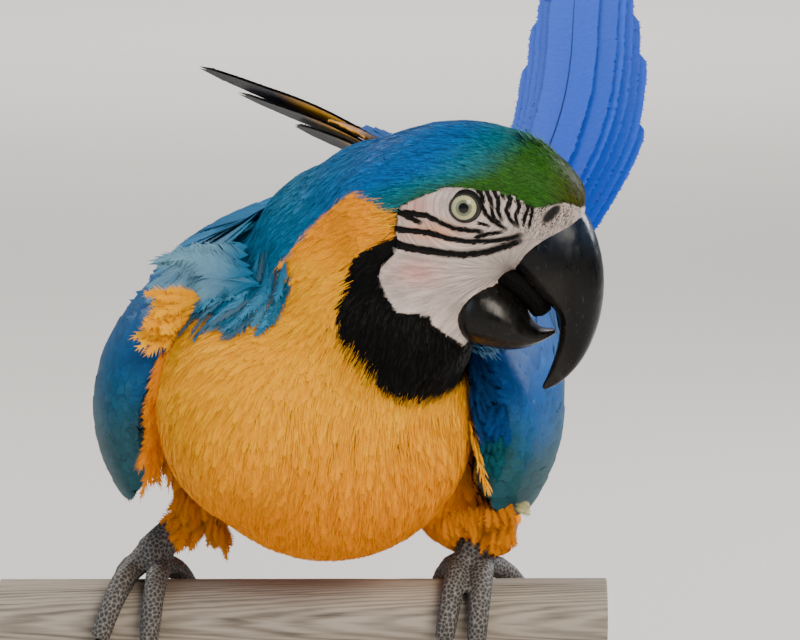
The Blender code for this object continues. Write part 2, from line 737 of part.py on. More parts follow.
def main():
    clear_scene()
    trunk = flesh()
    legs = {side: thigh(side) for side in ("left", "right")}
    bill = [upper_mandible(), lower_mandible()]
    eyes = [eye(side) for side in ("left", "right")]
    for item in bill + eyes:
        cut(trunk, grown(item, GAP))
    mouth = tongue()
    for item in bill:
        cut(mouth, grown(item, GAP))
    cut(mouth, grown(trunk, GAP))

    wings = [wing("wing_left", WING_LEFT), wing("wing_right", WING_RIGHT)]
    for item in wings:
        cut(item, grown(trunk, GAP))
    for item in legs.values():
        cut(item, grown(trunk, GAP))
        for other in wings:
            cut(item, grown(other, GAP))
    for side, stations in (("left", WING_LEFT), ("right", WING_RIGHT)):
        dorsal, bulge, ventral = (Vector(p) for p in stations[-1][:3])
        beyond = (bulge - dorsal).cross(ventral - dorsal).normalized()
        beyond = beyond if beyond.y > 0 else -beyond
        for tip in primaries(side):
            cut(tip, half_space(bulge + beyond * 2 * GAP, -beyond))
    for item in tail_feathers():
        cut(item, grown(trunk, GAP))

    neck_at = Vector((0.020, 0.014, 0.262))
    neck = part_off(trunk, "neck", neck_at, Vector((0.42, -0.10, 0.62)), BLUE)
    head_at = Vector((0.036, -0.006, 0.278))
    part_off(neck, "head", head_at, Vector((0.86, -0.05, 0.42)), BLUE)

    base, *rods = stand()
    branch = perch()
    for item in rods:
        cut(branch, grown(item, GAP))
    for side in ("left", "right"):
        whole, claws = foot(side)
        cut(whole, grown(branch, GAP))
        for claw in claws:
            cut(claw, grown(branch, GAP))
            cut(whole, grown(claw, GAP))
        cut(legs[side], grown(whole, GAP))


main()
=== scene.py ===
"""Plumage, bare face, bill, eyes, feet, branch and stand of a life-size blue-and-yellow macaw.

One skin lies under the head, neck, trunk and thighs. Feathers are thin cambered vanes with free
barb tips, laid over it and over the wings. Metres, +Z up; left and right are the bird's own.
"""

import json
import math

import bmesh
import bpy
import numpy as np
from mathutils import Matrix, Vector, kdtree
from mathutils.bvhtree import BVHTree

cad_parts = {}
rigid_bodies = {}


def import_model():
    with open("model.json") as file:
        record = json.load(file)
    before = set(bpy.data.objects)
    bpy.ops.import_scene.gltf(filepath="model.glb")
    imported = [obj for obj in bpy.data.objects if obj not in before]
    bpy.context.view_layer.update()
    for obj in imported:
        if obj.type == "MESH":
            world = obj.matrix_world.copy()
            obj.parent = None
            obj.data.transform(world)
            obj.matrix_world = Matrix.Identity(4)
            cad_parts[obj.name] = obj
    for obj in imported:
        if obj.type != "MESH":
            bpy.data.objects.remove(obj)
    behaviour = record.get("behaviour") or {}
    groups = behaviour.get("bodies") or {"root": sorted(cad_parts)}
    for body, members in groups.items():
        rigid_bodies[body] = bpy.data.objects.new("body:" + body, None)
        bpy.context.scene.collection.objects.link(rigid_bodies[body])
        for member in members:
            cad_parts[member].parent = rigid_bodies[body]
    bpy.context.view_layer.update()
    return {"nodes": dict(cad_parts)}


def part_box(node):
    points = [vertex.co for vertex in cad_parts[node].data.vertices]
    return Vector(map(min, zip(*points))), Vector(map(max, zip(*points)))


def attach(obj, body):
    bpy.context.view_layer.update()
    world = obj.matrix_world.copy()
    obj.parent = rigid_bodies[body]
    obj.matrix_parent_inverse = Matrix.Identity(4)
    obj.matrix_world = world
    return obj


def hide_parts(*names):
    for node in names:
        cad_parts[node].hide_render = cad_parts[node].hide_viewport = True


bl_info = {
    "name": "Blue-and-yellow macaw",
    "version": (1, 0, 0),
    "blender": (4, 5, 0),
    "location": "3D View > Sidebar > Macaw",
    "description": "Dresses the solids of a perched macaw with skin, feathers, horn, eyes and stand",
    "category": "Object",
}

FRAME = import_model()
BODY = "root"
FLESH = ("head", "neck", "trunk", "thigh_left", "thigh_right")
SIDES = {"left": -1.0, "right": 1.0}
MM = 0.001
UP = Vector((0, 0, 1))
DOWN = Vector((0, 0, -1))

# The head's own frame: f forward along the bill, r toward the bird's right, u up, from between the eyes
EYE_CENTRE = {side: sum(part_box(f"eye_{side}"), Vector()) / 2 for side in SIDES}
HEAD_ORIGIN = (EYE_CENTRE["left"] + EYE_CENTRE["right"]) / 2
HEAD_RIGHT = (EYE_CENTRE["right"] - EYE_CENTRE["left"]).normalized()
HEAD_AXES = np.array([np.cross((0, 0, 1), HEAD_RIGHT), HEAD_RIGHT, (0, 0, 1)], float)
# How far the eye's middle lies ahead of and above its solid's middle, in mm
EYE_SHIFT = (2.5, -1.1)
# Behind this y the body lies behind the head, in m
HEAD_BACK = 0.06
# Behind this y nothing belongs to the bib
BIB_BACK = 0.05
# The looks that several pieces share
SOFT, SHORT, CLOSE = "soft_contour_barbs", "short_head_barbs", "close_flight_barbs"
SKIN, HORN, SCALES = "bare_living_skin", "polished_black_keratin", "dry_scaly_leg_skin"


# ------------------------------------------------------------------ numbers and colours
def linear(code):
    """An sRGB hex colour as linear light."""
    parts = [int(code[i : i + 2], 16) / 255 for i in (1, 3, 5)]
    return tuple(p / 12.92 if p <= 0.04045 else ((p + 0.055) / 1.055) ** 2.4 for p in parts)


def unit(vectors):
    return vectors / np.maximum(np.linalg.norm(vectors, axis=-1, keepdims=True), 1e-12)


def ease(values, low, high):
    """0 below low, 1 above high, smooth between."""
    t = np.clip((values - low) / (high - low), 0, 1)
    return t * t * (3 - 2 * t)


def blend(a, b, share):
    return np.asarray(a) + (np.asarray(b) - np.asarray(a)) * np.asarray(share)[..., None]


def to_head(points):
    """World points in the head's frame, in millimetres."""
    return (np.asarray(points) - np.array(HEAD_ORIGIN)) @ HEAD_AXES.T / MM


def on_head(f, r, u):
    return np.array(HEAD_ORIGIN) + np.array((f, r, u), float) @ HEAD_AXES * MM


def head_way(f, r, u):
    return np.array((f, r, u), float) @ HEAD_AXES


def inside(f, u, outline):
    """Whether each (f, u) lies inside the closed outline."""
    found = np.zeros(len(f), bool)
    for (ax, ay), (bx, by) in zip(outline, outline[1:] + outline[:1]):
        crosses = (ay > u) != (by > u)
        with np.errstate(divide="ignore", invalid="ignore"):
            found ^= crosses & (f < (bx - ax) * (u - ay) / (by - ay) + ax)
    return found


def to_line(f, u, line):
    """Each point's distance from a polyline, in the line's own unit."""
    best = np.full(len(f), 1e9)
    for (ax, ay), (bx, by) in zip(line[:-1], line[1:]):
        dx, dy = bx - ax, by - ay
        t = np.clip(((f - ax) * dx + (u - ay) * dy) / (dx * dx + dy * dy), 0, 1)
        best = np.minimum(best, np.hypot(f - ax - t * dx, u - ay - t * dy))
    return best


def catmull(rows, at):
    """Rows of numbers read at fractional row numbers, on a Catmull-Rom curve."""
    rows = np.asarray(rows, float)
    rows = np.concatenate([[2 * rows[0] - rows[1]], rows, [2 * rows[-1] - rows[-2]]])
    i = np.clip(np.floor(at).astype(int), 0, len(rows) - 4)
    t = (at - i)[:, None]
    a, b, c, d = (rows[i + k] for k in range(4))
    return 0.5 * (
        2 * b + (c - a) * t + (2 * a - 5 * b + 4 * c - d) * t**2 + (3 * b - a - 3 * c + d) * t**3
    )


def smooth_line(points, count):
    """A Catmull-Rom line through the points, at even steps."""
    fine = catmull(points, np.linspace(0, len(points) - 1, 40 * len(points)))
    run = np.concatenate([[0], np.cumsum(np.linalg.norm(np.diff(fine, axis=0), axis=1))])
    at = np.linspace(0, run[-1], count)
    return np.stack([np.interp(at, run, fine[:, k]) for k in range(3)], 1)


def frames_of(line, side):
    """Tangents, sideways and upward ways along a line, with sideways kept near the given way."""
    tangent = unit(np.gradient(line, axis=0))
    across = unit(side - tangent * (tangent @ side)[:, None])
    up = np.cross(tangent, across)
    return tangent, across, up * np.sign(up[:, 2:])


def tiled(colour, count):
    """One colour for each of so many feathers."""
    return np.tile(np.array(colour), (count, 1))


def square_to(vectors, normals):
    """What is left of each vector when its share along the normal is taken out."""
    return vectors - normals * (vectors * normals).sum(1, keepdims=True)


def arc(start, middle, end, share):
    """A curve from start to end that is drawn toward the middle."""
    return start * (1 - share) ** 2 + middle * (2 * share * (1 - share)) + end * share**2


def shares(stations):
    """Even shares from 0 to 1 along a feather, in a shape that goes with arrays of feathers."""
    return np.linspace(0, 1, stations)[None, :, None]


def straight(roots, ways, lengths, stations):
    """Straight centre lines from the roots."""
    return roots[:, None] + ways[:, None] * lengths[:, None, None] * shares(stations)


def point_tree(points):
    """A tree that finds the nearest of the points."""
    tree = kdtree.KDTree(len(points))
    for i, place in enumerate(points):
        tree.insert(place, i)
    tree.balance()
    return tree


def belt(starts, ring, first=0, flip=False, woven=True):
    """Two triangles from each start to the next point of its ring and the ring after it.

    A ring has so many points, and the first ring begins at the first point. The two triangles of a
    start lie side by side in the list where it is woven, and otherwise in its two halves.
    """
    beside = starts + 1 - ring * ((starts - first) % ring == ring - 1)
    above, across = starts + ring, beside + ring
    if flip:
        pair = [(starts, beside, above), (beside, across, above)]
    else:
        pair = [(starts, above, beside), (beside, above, across)]
    return np.stack([np.stack(corners, -1) for corners in pair], 1 if woven else 0).reshape(-1, 3)


def capped(points, faces, ring, rows, turns):
    """Closes the two end rings of a tube with fans round a middle point."""
    for row, turn in zip(rows, turns):
        tip = len(points)
        start = row * ring
        points = np.concatenate([points, [points[start : start + ring].mean(0)]])
        fan = [(tip, start + k, start + (k + 1) % ring)[::turn] for k in range(ring)]
        faces = np.concatenate([faces, fan])
    return points, faces


# ------------------------------------------------------------------ markings, in the head's frame (mm)
FACE_OUTLINE = [
    (-22.6, -1.2), (-14.8, 2.8), (-5.0, 6.6), (2.0, 7.2), (8.6, 5.6), (16.3, 5.0), (24.1, 2.8),
    (29.5, -1.6), (35.7, -0.8), (41.8, 0.2), (47.0, -2.4), (53.0, -6.5), (56.0, -20.0), (40.0, -30.0),
    (30.0, -60.0), (4.0, -60.0), (-4.2, -53.4), (-10.2, -48.6), (-11.6, -44.4), (-24.0, -43.4),
    (-28.6, -37.0), (-31.4, -29.6), (-30.2, -24.6), (-24.6, -19.6), (-23.6, -14.0), (-24.2, -9.6),
]
BIB_OUTLINE = [
    (-26.0, -12.4), (-34.0, -16.4), (-40.6, -21.6), (-47.2, -33.6), (-48.8, -49.6), (-45.2, -60.6),
    (-35.2, -72.6), (-25.2, -80.6), (-13.2, -81.8), (-3.2, -78.6), (6.8, -69.6), (12.0, -55.0),
    (30.0, -50.0), (30.0, -20.0), (0.0, -14.0),
]
# Height of the line between blue above and yellow below, read along f
BLUE_EDGE_F = (-106.0, -93.9, -86.2, -80.0, -69.9, -63.6, -55.5, -47.8, -42.8, -37.0, -29.0, -24.0, 60.0)
BLUE_EDGE_U = (-55.0, -55.1, -49.3, -38.0, -25.6, -16.5, -9.0, -1.6, 3.0, 1.0, -3.4, -6.5, -6.5)
# Lines of small black feathers on the bare face: width, then points
FACE_LINES = (
    (2.3, ((-23.7, -15.6), (-20.9, -16.6), (-15.9, -17.6), (-5.9, -19.1), (2.1, -20.0),
           (12.1, -18.8), (20.1, -16.2), (23.5, -14.8))),
    (1.6, ((-23.7, -9.6), (-19.9, -10.2), (-10.9, -11.1), (-2.9, -13.6), (4.1, -14.6),
           (14.1, -14.5), (20.1, -13.6), (24.1, -12.4))),
    (1.5, ((-19.5, -3.4), (-11.9, -4.4), (-5.9, -7.6), (-0.9, -9.4), (4.1, -10.1), (9.1, -10.8))),
    (1.5, ((-22.7, -3.2), (-18.9, -5.2), (-14.7, -7.1))),
    (1.1, ((8.1, -12.6), (12.1, -11.5), (17.1, -11.1))),
    (0.9, ((9.1, -7.4), (12.1, -8.6))),
    (1.3, ((7.9, 6.2), (9.6, 2.4), (9.3, -0.6), (11.1, -4.0), (14.1, -7.1), (18.5, -9.8))),
    (1.3, ((10.7, 6.0), (12.7, 1.4), (13.3, -1.4))),
    (1.3, ((13.5, 6.2), (15.7, 1.4), (15.6, -2.6), (16.9, -6.0))),
    (1.0, ((16.5, 5.8), (17.9, 2.0))),
    (1.3, ((19.7, 5.6), (20.2, 1.4), (19.0, -2.6), (20.1, -5.8), (22.1, -8.2))),
    (1.1, ((23.2, 3.6), (23.6, -1.6), (22.5, -4.8), (23.3, -9.0))),
    (1.0, ((26.5, 2.2), (27.2, -2.0), (25.9, -5.6), (25.5, -8.4))),
    (0.8, ((29.3, -0.6), (28.4, -5.0), (27.6, -9.6))),
    (0.8, ((13.1, -2.8), (14.5, -5.8), (16.9, -8.2))),
)
NOSTRIL = (36.2, -4.4)
NOSTRIL_TILT = math.radians(46)
NOSTRIL_HALF = (5.0, 2.1)
GAPE = (18.5, -27.0)


def nostril_depth(f, u):
    """1 at the middle of the nostril, 0 at its rim and beyond."""
    c, s = math.cos(NOSTRIL_TILT), math.sin(NOSTRIL_TILT)
    x, y = f - NOSTRIL[0], u - NOSTRIL[1]
    reach = np.hypot((x * c + y * s) / NOSTRIL_HALF[0], (-x * s + y * c) / NOSTRIL_HALF[1])
    return 1 - ease(reach, 0.75, 1.15)


def is_bare(points):
    """Whether each point lies on the bare skin of the face."""
    f, r, u = to_head(points).T
    side = np.abs(r) > np.where(u < -26, 6.0, np.where(f > 30, 0.0, 8.0))
    return side & inside(f, u, FACE_OUTLINE) & (np.asarray(points)[:, 1] < HEAD_BACK)


# Where blue gives way to yellow away from the near side: spine stations, their upward way, half-angle
SPINE = (
    ((0.060, -0.015, 0.296), (-0.10, 0.05, 1.00), 84),
    ((0.022, 0.010, 0.272), (-0.62, 0.45, 0.64), 78),
    ((0.000, 0.040, 0.245), (-0.25, 0.35, 0.90), 66),
    ((0.005, 0.072, 0.225), (0.00, -0.10, 1.00), 62),
    ((0.030, 0.120, 0.230), (-0.05, -0.15, 1.00), 70),
    ((0.055, 0.170, 0.243), (-0.05, -0.16, 1.00), 96),
    ((0.072, 0.215, 0.256), (-0.05, -0.16, 1.00), 180),
)


def dorsal_share(points):
    """Over 0 on the blue upper side, under 0 on the yellow underside, in radians from the line."""
    points = np.asarray(points)
    places = np.array([s[0] for s in SPINE])
    ways = unit(np.array([s[1] for s in SPINE]))
    halves = np.radians([s[2] for s in SPINE])
    gap = np.linalg.norm(points[:, None] - places[None], axis=-1)
    weight = 1 / (gap**4 + 1e-9)
    weight /= weight.sum(1, keepdims=True)
    centre, way, half = weight @ places, unit(weight @ ways), weight @ halves
    angle = np.arccos(np.clip((unit(points - centre) * way).sum(1), -1, 1))
    return half - angle


def upper_side(points):
    """Over 0 where the plumage is blue, under 0 where it is gold."""
    f, r, u = to_head(points).T
    near = ease(r + np.clip(-f - 40, 0, 60), -12, 2) * (1 - ease(np.asarray(points)[:, 1], 0.034, 0.060))
    line = (u - np.interp(f, BLUE_EDGE_F, BLUE_EDGE_U)) / 14.0
    return near * np.clip(line, -1, 1) + (1 - near) * np.clip(dorsal_share(points) * 2.2, -1, 1)


def marking(points, tone):
    """The colour of the plumage at each point; tone holds the named colours."""
    points = np.asarray(points)
    f, r, u = to_head(points).T
    edge = np.interp(f, BLUE_EDGE_F, BLUE_EDGE_U)
    upper = ease(upper_side(points), -0.05, 0.05)

    blue = blend(tone.crown_blue, tone.back_blue, ease(-f, 30, 75))
    green = (f + 36 - 1.1 * (u - 4)) / 52 + 0.30 * (1 - ease(u, 2, 14))
    green = green * (1 - ease(np.linalg.norm(points - np.array(HEAD_ORIGIN), axis=1), 0.045, 0.070))
    blue = blend(blue, tone.crown_teal, ease(green, 0.12, 0.50))
    blue = blend(blue, tone.crown_green, ease(green, 0.42, 0.86))
    blue = blend(blue, tone.forehead_olive, ease(f, 30, 48) * ease(green, 0.5, 0.9))

    low = ease(0.215 - points[:, 2], -0.01, 0.05)
    yellow = blend(tone.breast_gold, tone.belly_orange, low)
    throat = ease(u, -40, -10) * ease(-f, 20, 40)
    yellow = blend(yellow, tone.neck_orange, throat * 0.8)

    colour = blend(yellow, blue, upper)
    bib = inside(f, u, BIB_OUTLINE) & (points[:, 1] < BIB_BACK) & (u < edge - 3)
    rim = to_line(f, u, BIB_OUTLINE[:11])
    edge_green = ease(4.0 - rim, 0, 4.0) * (u < -52) * ~bib
    colour = blend(colour, tone.bib_edge, edge_green * 0.75)
    return np.where(bib[:, None], np.array(tone.bib_black), colour)


def bare_colour(points, tone):
    """The bare face: white skin with a blush, peach folds and dark lines."""
    f, r, u = to_head(points).T
    colour = np.tile(np.array(tone.bare_white), (len(f), 1))
    blush = np.exp(-(((f + 16) / 9) ** 2 + ((u + 27) / 6) ** 2))
    peach = np.exp(-(((f + 10) / 13) ** 2 + ((u + 10.5) / 4.5) ** 2))
    behind = np.exp(-(((f + 16) / 6) ** 2 + ((u + 0.5) / 4) ** 2))
    olive = np.exp(-(((f - 23) / 4) ** 2 + ((u + 12) / 3) ** 2))
    colour = blend(colour, tone.bare_pink, np.clip(0.75 * blush + 0.75 * behind, 0, 1))
    colour = blend(colour, tone.bare_peach, 0.85 * peach)
    colour = blend(colour, tone.forehead_olive, 0.35 * olive)
    for width, line in FACE_LINES:
        near = 1 - ease(to_line(f, u, line), width * 0.45, width * 0.95)
        colour = blend(colour, tone.bib_black, near * 0.85)
    # Painted shade: the nostril is painted near black, for the dark inside of the opening
    return blend(colour, (0.004, 0.003, 0.003), nostril_depth(f, u))


# ------------------------------------------------------------------ meshes
def read(data, key, width=3, kind=np.float32):
    """One field of every element, as rows of numbers."""
    values = np.empty(len(data) * width, kind)
    data.foreach_get(key, values)
    values = values.reshape(-1, width)
    return values if kind is np.int32 else values.astype(float)


def build_mesh(name, points, triangles):
    """An object from arrays of points and triangles, smooth shaded."""
    mesh = bpy.data.meshes.new(name)
    triangles = np.asarray(triangles, np.int32)
    mesh.vertices.add(len(points))
    mesh.vertices.foreach_set("co", np.asarray(points, np.float32).ravel())
    mesh.loops.add(triangles.size)
    mesh.loops.foreach_set("vertex_index", triangles.ravel())
    mesh.polygons.add(len(triangles))
    mesh.polygons.foreach_set("loop_start", np.arange(0, triangles.size, 3, dtype=np.int32))
    mesh.polygons.foreach_set("use_smooth", np.ones(len(triangles), bool))
    mesh.update(calc_edges=True)
    item = bpy.data.objects.new(name, mesh)
    bpy.context.scene.collection.objects.link(item)
    return item


def set_colour(item, colours):
    """Stores a linear colour at every point as the attribute that the materials read."""
    count = len(item.data.vertices)
    colours = np.broadcast_to(np.clip(colours, 0, 1), (count, 3))
    rgba = np.concatenate([colours, np.ones((count, 1))], 1).astype(np.float32)
    layer = item.data.attributes.new("marking", "FLOAT_COLOR", "POINT")
    layer.data.foreach_set("color", rgba.ravel())


def set_vector(item, name, vectors):
    """Stores a vector at every point, for the materials."""
    layer = item.data.attributes.new(name, "FLOAT_VECTOR", "POINT")
    layer.data.foreach_set("vector", np.asarray(vectors, np.float32).ravel())


def set_map(item, name, per_point):
    """A UV map from one place per point."""
    corner = read(item.data.loops, "vertex_index", 1, np.int32)[:, 0]
    layer = item.data.uv_layers.new(name=name)
    layer.data.foreach_set("uv", np.asarray(per_point, np.float32)[corner].ravel())


def unwrap(item):
    """An unwrap of the mesh's own shape, as the map that baking reads."""
    bpy.ops.object.select_all(action="DESELECT")
    item.select_set(True)
    bpy.context.view_layer.objects.active = item
    item.data.uv_layers.new(name="OFBake")
    bpy.ops.object.mode_set(mode="EDIT")
    bpy.ops.mesh.select_all(action="SELECT")
    bpy.ops.uv.smart_project(angle_limit=math.radians(66), island_margin=0.002)
    bpy.ops.object.mode_set(mode="OBJECT")


def finish(item, look, nodes=()):
    """Gives the piece its map, its material, its body and the solids that it stands for."""
    if "OFBake" not in item.data.uv_layers:
        unwrap(item)
    item.data.materials.clear()
    item.data.materials.append(material_of(look))
    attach(item, BODY)
    if nodes:
        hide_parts(*nodes)
    return item


def apply_modifiers(item):
    """Makes what the modifiers show the piece's own mesh."""
    graph = bpy.context.evaluated_depsgraph_get()
    made = bpy.data.meshes.new_from_object(item.evaluated_get(graph))
    item.modifiers.clear()
    item.data = made


def face_normals(corner):
    """Each triangle's normal, twice its area long."""
    return np.cross(corner[:, 1] - corner[:, 0], corner[:, 2] - corner[:, 0])


def solid_arrays(node, swell):
    """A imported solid's welded points, pushed out along their normals, and its triangles."""
    mesh = FRAME["nodes"][node].data
    mesh.calc_loop_triangles()
    faces = read(mesh.loop_triangles, "vertices", 3, np.int32)
    keys, index = np.unique(np.round(read(mesh.vertices, "co"), 6), axis=0, return_inverse=True)
    faces = index.reshape(-1)[faces]
    normal = face_normals(keys[faces])
    total = np.zeros_like(keys)
    for k in range(3):
        np.add.at(total, faces[:, k], normal)
    return keys + unit(total) * swell, faces


def smooth_copy(name, nodes, voxel, rounds, swell=0.0, levels=0):
    """The solids fused into one fine smooth mesh; nodes holds names, or pairs of a name and a swell."""
    points, faces, first = [], [], 0
    for node in nodes:
        label, push = node if isinstance(node, tuple) else (node, swell)
        p, f = solid_arrays(label, push)
        points.append(p)
        faces.append(f + first)
        first += len(p)
    item = build_mesh(name, np.concatenate(points), np.concatenate(faces))
    if levels:
        item.modifiers.new("Subdivision", "SUBSURF").levels = levels
    remesh = item.modifiers.new("Remesh", "REMESH")
    remesh.mode = "VOXEL"
    remesh.voxel_size = voxel
    remesh.use_smooth_shade = True
    relax = item.modifiers.new("Smooth", "SMOOTH")
    relax.factor = 0.5
    relax.iterations = rounds
    apply_modifiers(item)
    item.data.name = name
    return item


def refine(mesh, wanted):
    """Cuts the edges of the faces at the wanted places in three."""
    work = bmesh.new()
    work.from_mesh(mesh)
    work.faces.ensure_lookup_table()
    chosen = wanted(np.array([f.calc_center_median() for f in work.faces]))
    edges = {e for f, yes in zip(work.faces, chosen) if yes for e in f.edges}
    bmesh.ops.subdivide_edges(work, edges=list(edges), cuts=2, use_grid_fill=True)
    points = list({v for e in edges if e.is_valid for v in e.verts})
    bmesh.ops.smooth_vert(work, verts=points, factor=0.3)
    work.to_mesh(mesh)
    work.free()
    mesh.update()


def move_points(mesh, points):
    mesh.vertices.foreach_set("co", np.asarray(points, np.float32).ravel())
    mesh.update()


class Surface:
    """A mesh that feathers are laid on."""

    def __init__(self, item):
        mesh = item.data
        self.points = read(mesh.vertices, "co")
        self.normals = read(mesh.vertices, "normal")
        mesh.calc_loop_triangles()
        self.faces = read(mesh.loop_triangles, "vertices", 3, np.int32)
        self.tree = BVHTree.FromPolygons(self.points.tolist(), self.faces.tolist())
        corner = self.points[self.faces]
        self.areas = np.linalg.norm(face_normals(corner), axis=1) / 2
        self.centres = corner.mean(1)
        self.map = None
        if "OFBake" in mesh.uv_layers:
            loops = read(mesh.loop_triangles, "loops", 3, np.int32)
            self.map = read(mesh.uv_layers["OFBake"].data, "uv", 2)[loops].mean(1)

    def nearest(self, places):
        """The nearest surface points, their smooth normals and their faces."""
        hits = [self.tree.find_nearest(p) for p in places]
        points = np.array([h[0] for h in hits])
        faces = np.array([h[2] for h in hits])
        corner = self.points[self.faces[faces]]
        gap = np.linalg.norm(corner - points[:, None], axis=2)
        weight = 1 / (gap + 1e-5)
        weight /= weight.sum(1, keepdims=True)
        normals = (self.normals[self.faces[faces]] * weight[..., None]).sum(1)
        return points, unit(normals), faces

    def cast(self, starts, ways):
        """Where rays from the starts meet the surface, the faces met, and which rays met one."""
        hits = [self.tree.ray_cast(Vector(p), Vector(w)) for p, w in zip(starts, ways)]
        kept = [i for i, hit in enumerate(hits) if hit[0] is not None]
        return np.array([hits[i][0] for i in kept]), np.array([hits[i][2] for i in kept]), kept

    def scatter(self, spacing, wanted, seed):
        """Even random places over the wanted faces, none nearer to another than the spacing."""
        rng = np.random.default_rng(seed)
        spacing = np.broadcast_to(spacing, len(self.areas))
        weight = np.where(wanted, self.areas / spacing**2, 0)
        count = int(weight.sum() * 3.2)
        pick = rng.choice(len(weight), count, p=weight / weight.sum())
        a, b = rng.random((2, count, 1))
        flip = a + b > 1
        a, b = np.where(flip, 1 - a, a), np.where(flip, 1 - b, b)
        p, q, s = (self.points[self.faces[pick, k]] for k in range(3))
        places = p + (q - p) * a + (s - p) * b
        tree = point_tree(places)
        free = np.ones(count, bool)
        kept = []
        reach = spacing[pick]
        for i in range(count):
            if free[i]:
                kept.append(i)
                for _, j, _ in tree.find_range(places[i], reach[i]):
                    free[j] = False
        return places[kept], pick[kept]

    def run(self, roots, lies, lengths, stations=5):
        """Lines that start at the roots and follow the surface the given way, with their normals."""
        here, up, _ = self.nearest(roots)
        lie = lies
        points, ups = [here], [up]
        for _ in range(stations - 1):
            lie = unit(square_to(lie, up))
            here, up, _ = self.nearest(here + lie * (lengths / (stations - 1))[:, None])
            points.append(here)
            ups.append(up)
        return np.stack(points, 1), np.stack(ups, 1)


def contour(at):
    """Half width of a body feather along its length, rounded at the tip."""
    swell = np.sin(np.pi * np.clip(0.5 + (at - 0.45) * 0.62, 0.05, 0.95)) ** 0.7
    return swell * np.sqrt(np.clip(1 - (at / 0.93) ** 6, 0.02, 1))


def flight(at):
    """Half width of a wing or tail feather: even, then rounded over its last sixth."""
    end = np.sqrt(np.clip(1 - ((at - 0.84) / 0.16).clip(0, 1) ** 2, 0.02, 1))
    return np.minimum(1, 0.5 + 2 * at) * end


def blade(at):
    """Half width of a long primary, which tapers to a blunt point."""
    return np.interp(at, (0, 0.25, 0.5, 0.75, 0.9, 1), (0.8, 1.0, 0.92, 0.68, 0.42, 0.1))


def vane(barbs, joined=0.6, slant=0.16, half=contour):
    """A feather's flat pattern: the shaft, the joined web on each side and the free barb tips."""
    base = np.linspace(0, 0.90, barbs + 1)
    middle = (base[1:] + base[:-1]) / 2
    along, across, free, barb = [base], [base * 0], [base * 0], [base]
    faces = []
    ring = barbs + 1
    first = ring
    webs = []
    for side in (-1, 1):
        along += [base + slant * joined * (1.15 - base), middle + slant * (1.15 - middle)]
        across += [side * joined * half(base), side * half(middle)]
        free += [base * 0 + 0.3, middle * 0 + 1]
        barb += [base, middle]
        webs.append(first + barbs)
        for i in range(barbs):
            web, tip = first + i, first + ring + i
            faces += [(i, i + 1, web + 1)[::side], (i, web + 1, web)[::side], (web, web + 1, tip)[::side]]
        first += ring + barbs
    along.append([1.0])
    across.append([0.0])
    free.append([0.6])
    barb.append([0.95])
    faces += [(barbs, webs[0], first), (barbs, first, webs[1])]
    return {
        "along": np.clip(np.concatenate(along), 0, 1.02),
        "across": np.concatenate(across),
        "free": np.concatenate(free),
        "barb": np.concatenate(barb),
        "jitter": min(0.035, 0.7 / barbs),
        "faces": np.array(faces, np.int32),
    }


def feathers(
    name, lines, ups, widths, rises, colours, shape, patches, seed, fray=1.0, camber=0.05, start=0.1,
    fringe=0.03, turn=(0.05, 0.55), look=CLOSE, solids=(),
):
    """Many feathers as one piece.

    lines and ups hold each feather's centre line and normals; colours are (root, tip) per feather, and a
    root that is a darker copy of the tip's colour is painted shade where other feathers overlap it;
    patches are the places of their roots on the skin's unwrap. fray is how far the barbs stray, camber
    how far the sides bend down, start the root's share of the rise, fringe how much lighter the barb tips
    are, and turn the stretch over which the root's colour gives way to the tip's.
    """
    rng = np.random.default_rng(seed)
    count, stations = lines.shape[:2]
    size = len(shape["along"])
    widths = np.broadcast_to(widths, count)[:, None]
    rises = np.broadcast_to(rises, count)[:, None]
    free = shape["free"][None] * fray
    along = np.clip(shape["along"][None] + free * rng.normal(0, shape["jitter"], (count, size)), 0, 1.06)
    across = shape["across"][None] * (1 + free * rng.normal(0, 0.10, (count, size)))
    at = along * (stations - 1)
    i = np.clip(at.astype(int), 0, stations - 2)
    t = (at - i)[..., None]
    rows = np.arange(count)[:, None]
    centre = lines[rows, i] * (1 - t) + lines[rows, i + 1] * t
    up = unit(ups[rows, i] * (1 - t) + ups[rows, i + 1] * t)
    heading = unit(lines[rows, i + 1] - lines[rows, i])
    side = unit(np.cross(up, heading))
    roll = rng.normal(0, 0.035, (count, 1))
    wide = widths * across / 2
    height = rises * (start + (1 - start) * along) + roll * wide
    height = height - camber * widths * across**2 + free * rng.normal(0, 0.05, (count, size)) * rises
    points = centre + side * wide[..., None] + up * height[..., None]
    triangles = shape["faces"][None] + (np.arange(count) * size)[:, None, None]
    item = build_mesh(name, points.reshape(-1, 3), triangles.reshape(-1, 3))

    root, tip = colours
    share = ease(along, *turn)[..., None]
    shade = 1 + rng.normal(0, 0.055, (count, 1, 1))
    shade = shade + free[..., None] * rng.normal(fringe, 0.10, (count, size, 1))
    set_colour(item, ((root[:, None] + (tip - root)[:, None] * share) * shade).reshape(-1, 3))
    lengths = np.linalg.norm(lines[:, 1:] - lines[:, :-1], axis=2).sum(1)
    barb = shape["barb"][None] * lengths[:, None] / MM
    places = np.stack([wide / MM + np.arange(count)[:, None] * 0.37, barb], 2)
    patch = patches[:, None] + 0.0015 * np.stack([across, 2 * along - 1], 2)
    set_map(item, "OFBake", patch.reshape(-1, 2))
    set_map(item, "Barbs", places.reshape(-1, 2))
    return finish(item, look, solids)


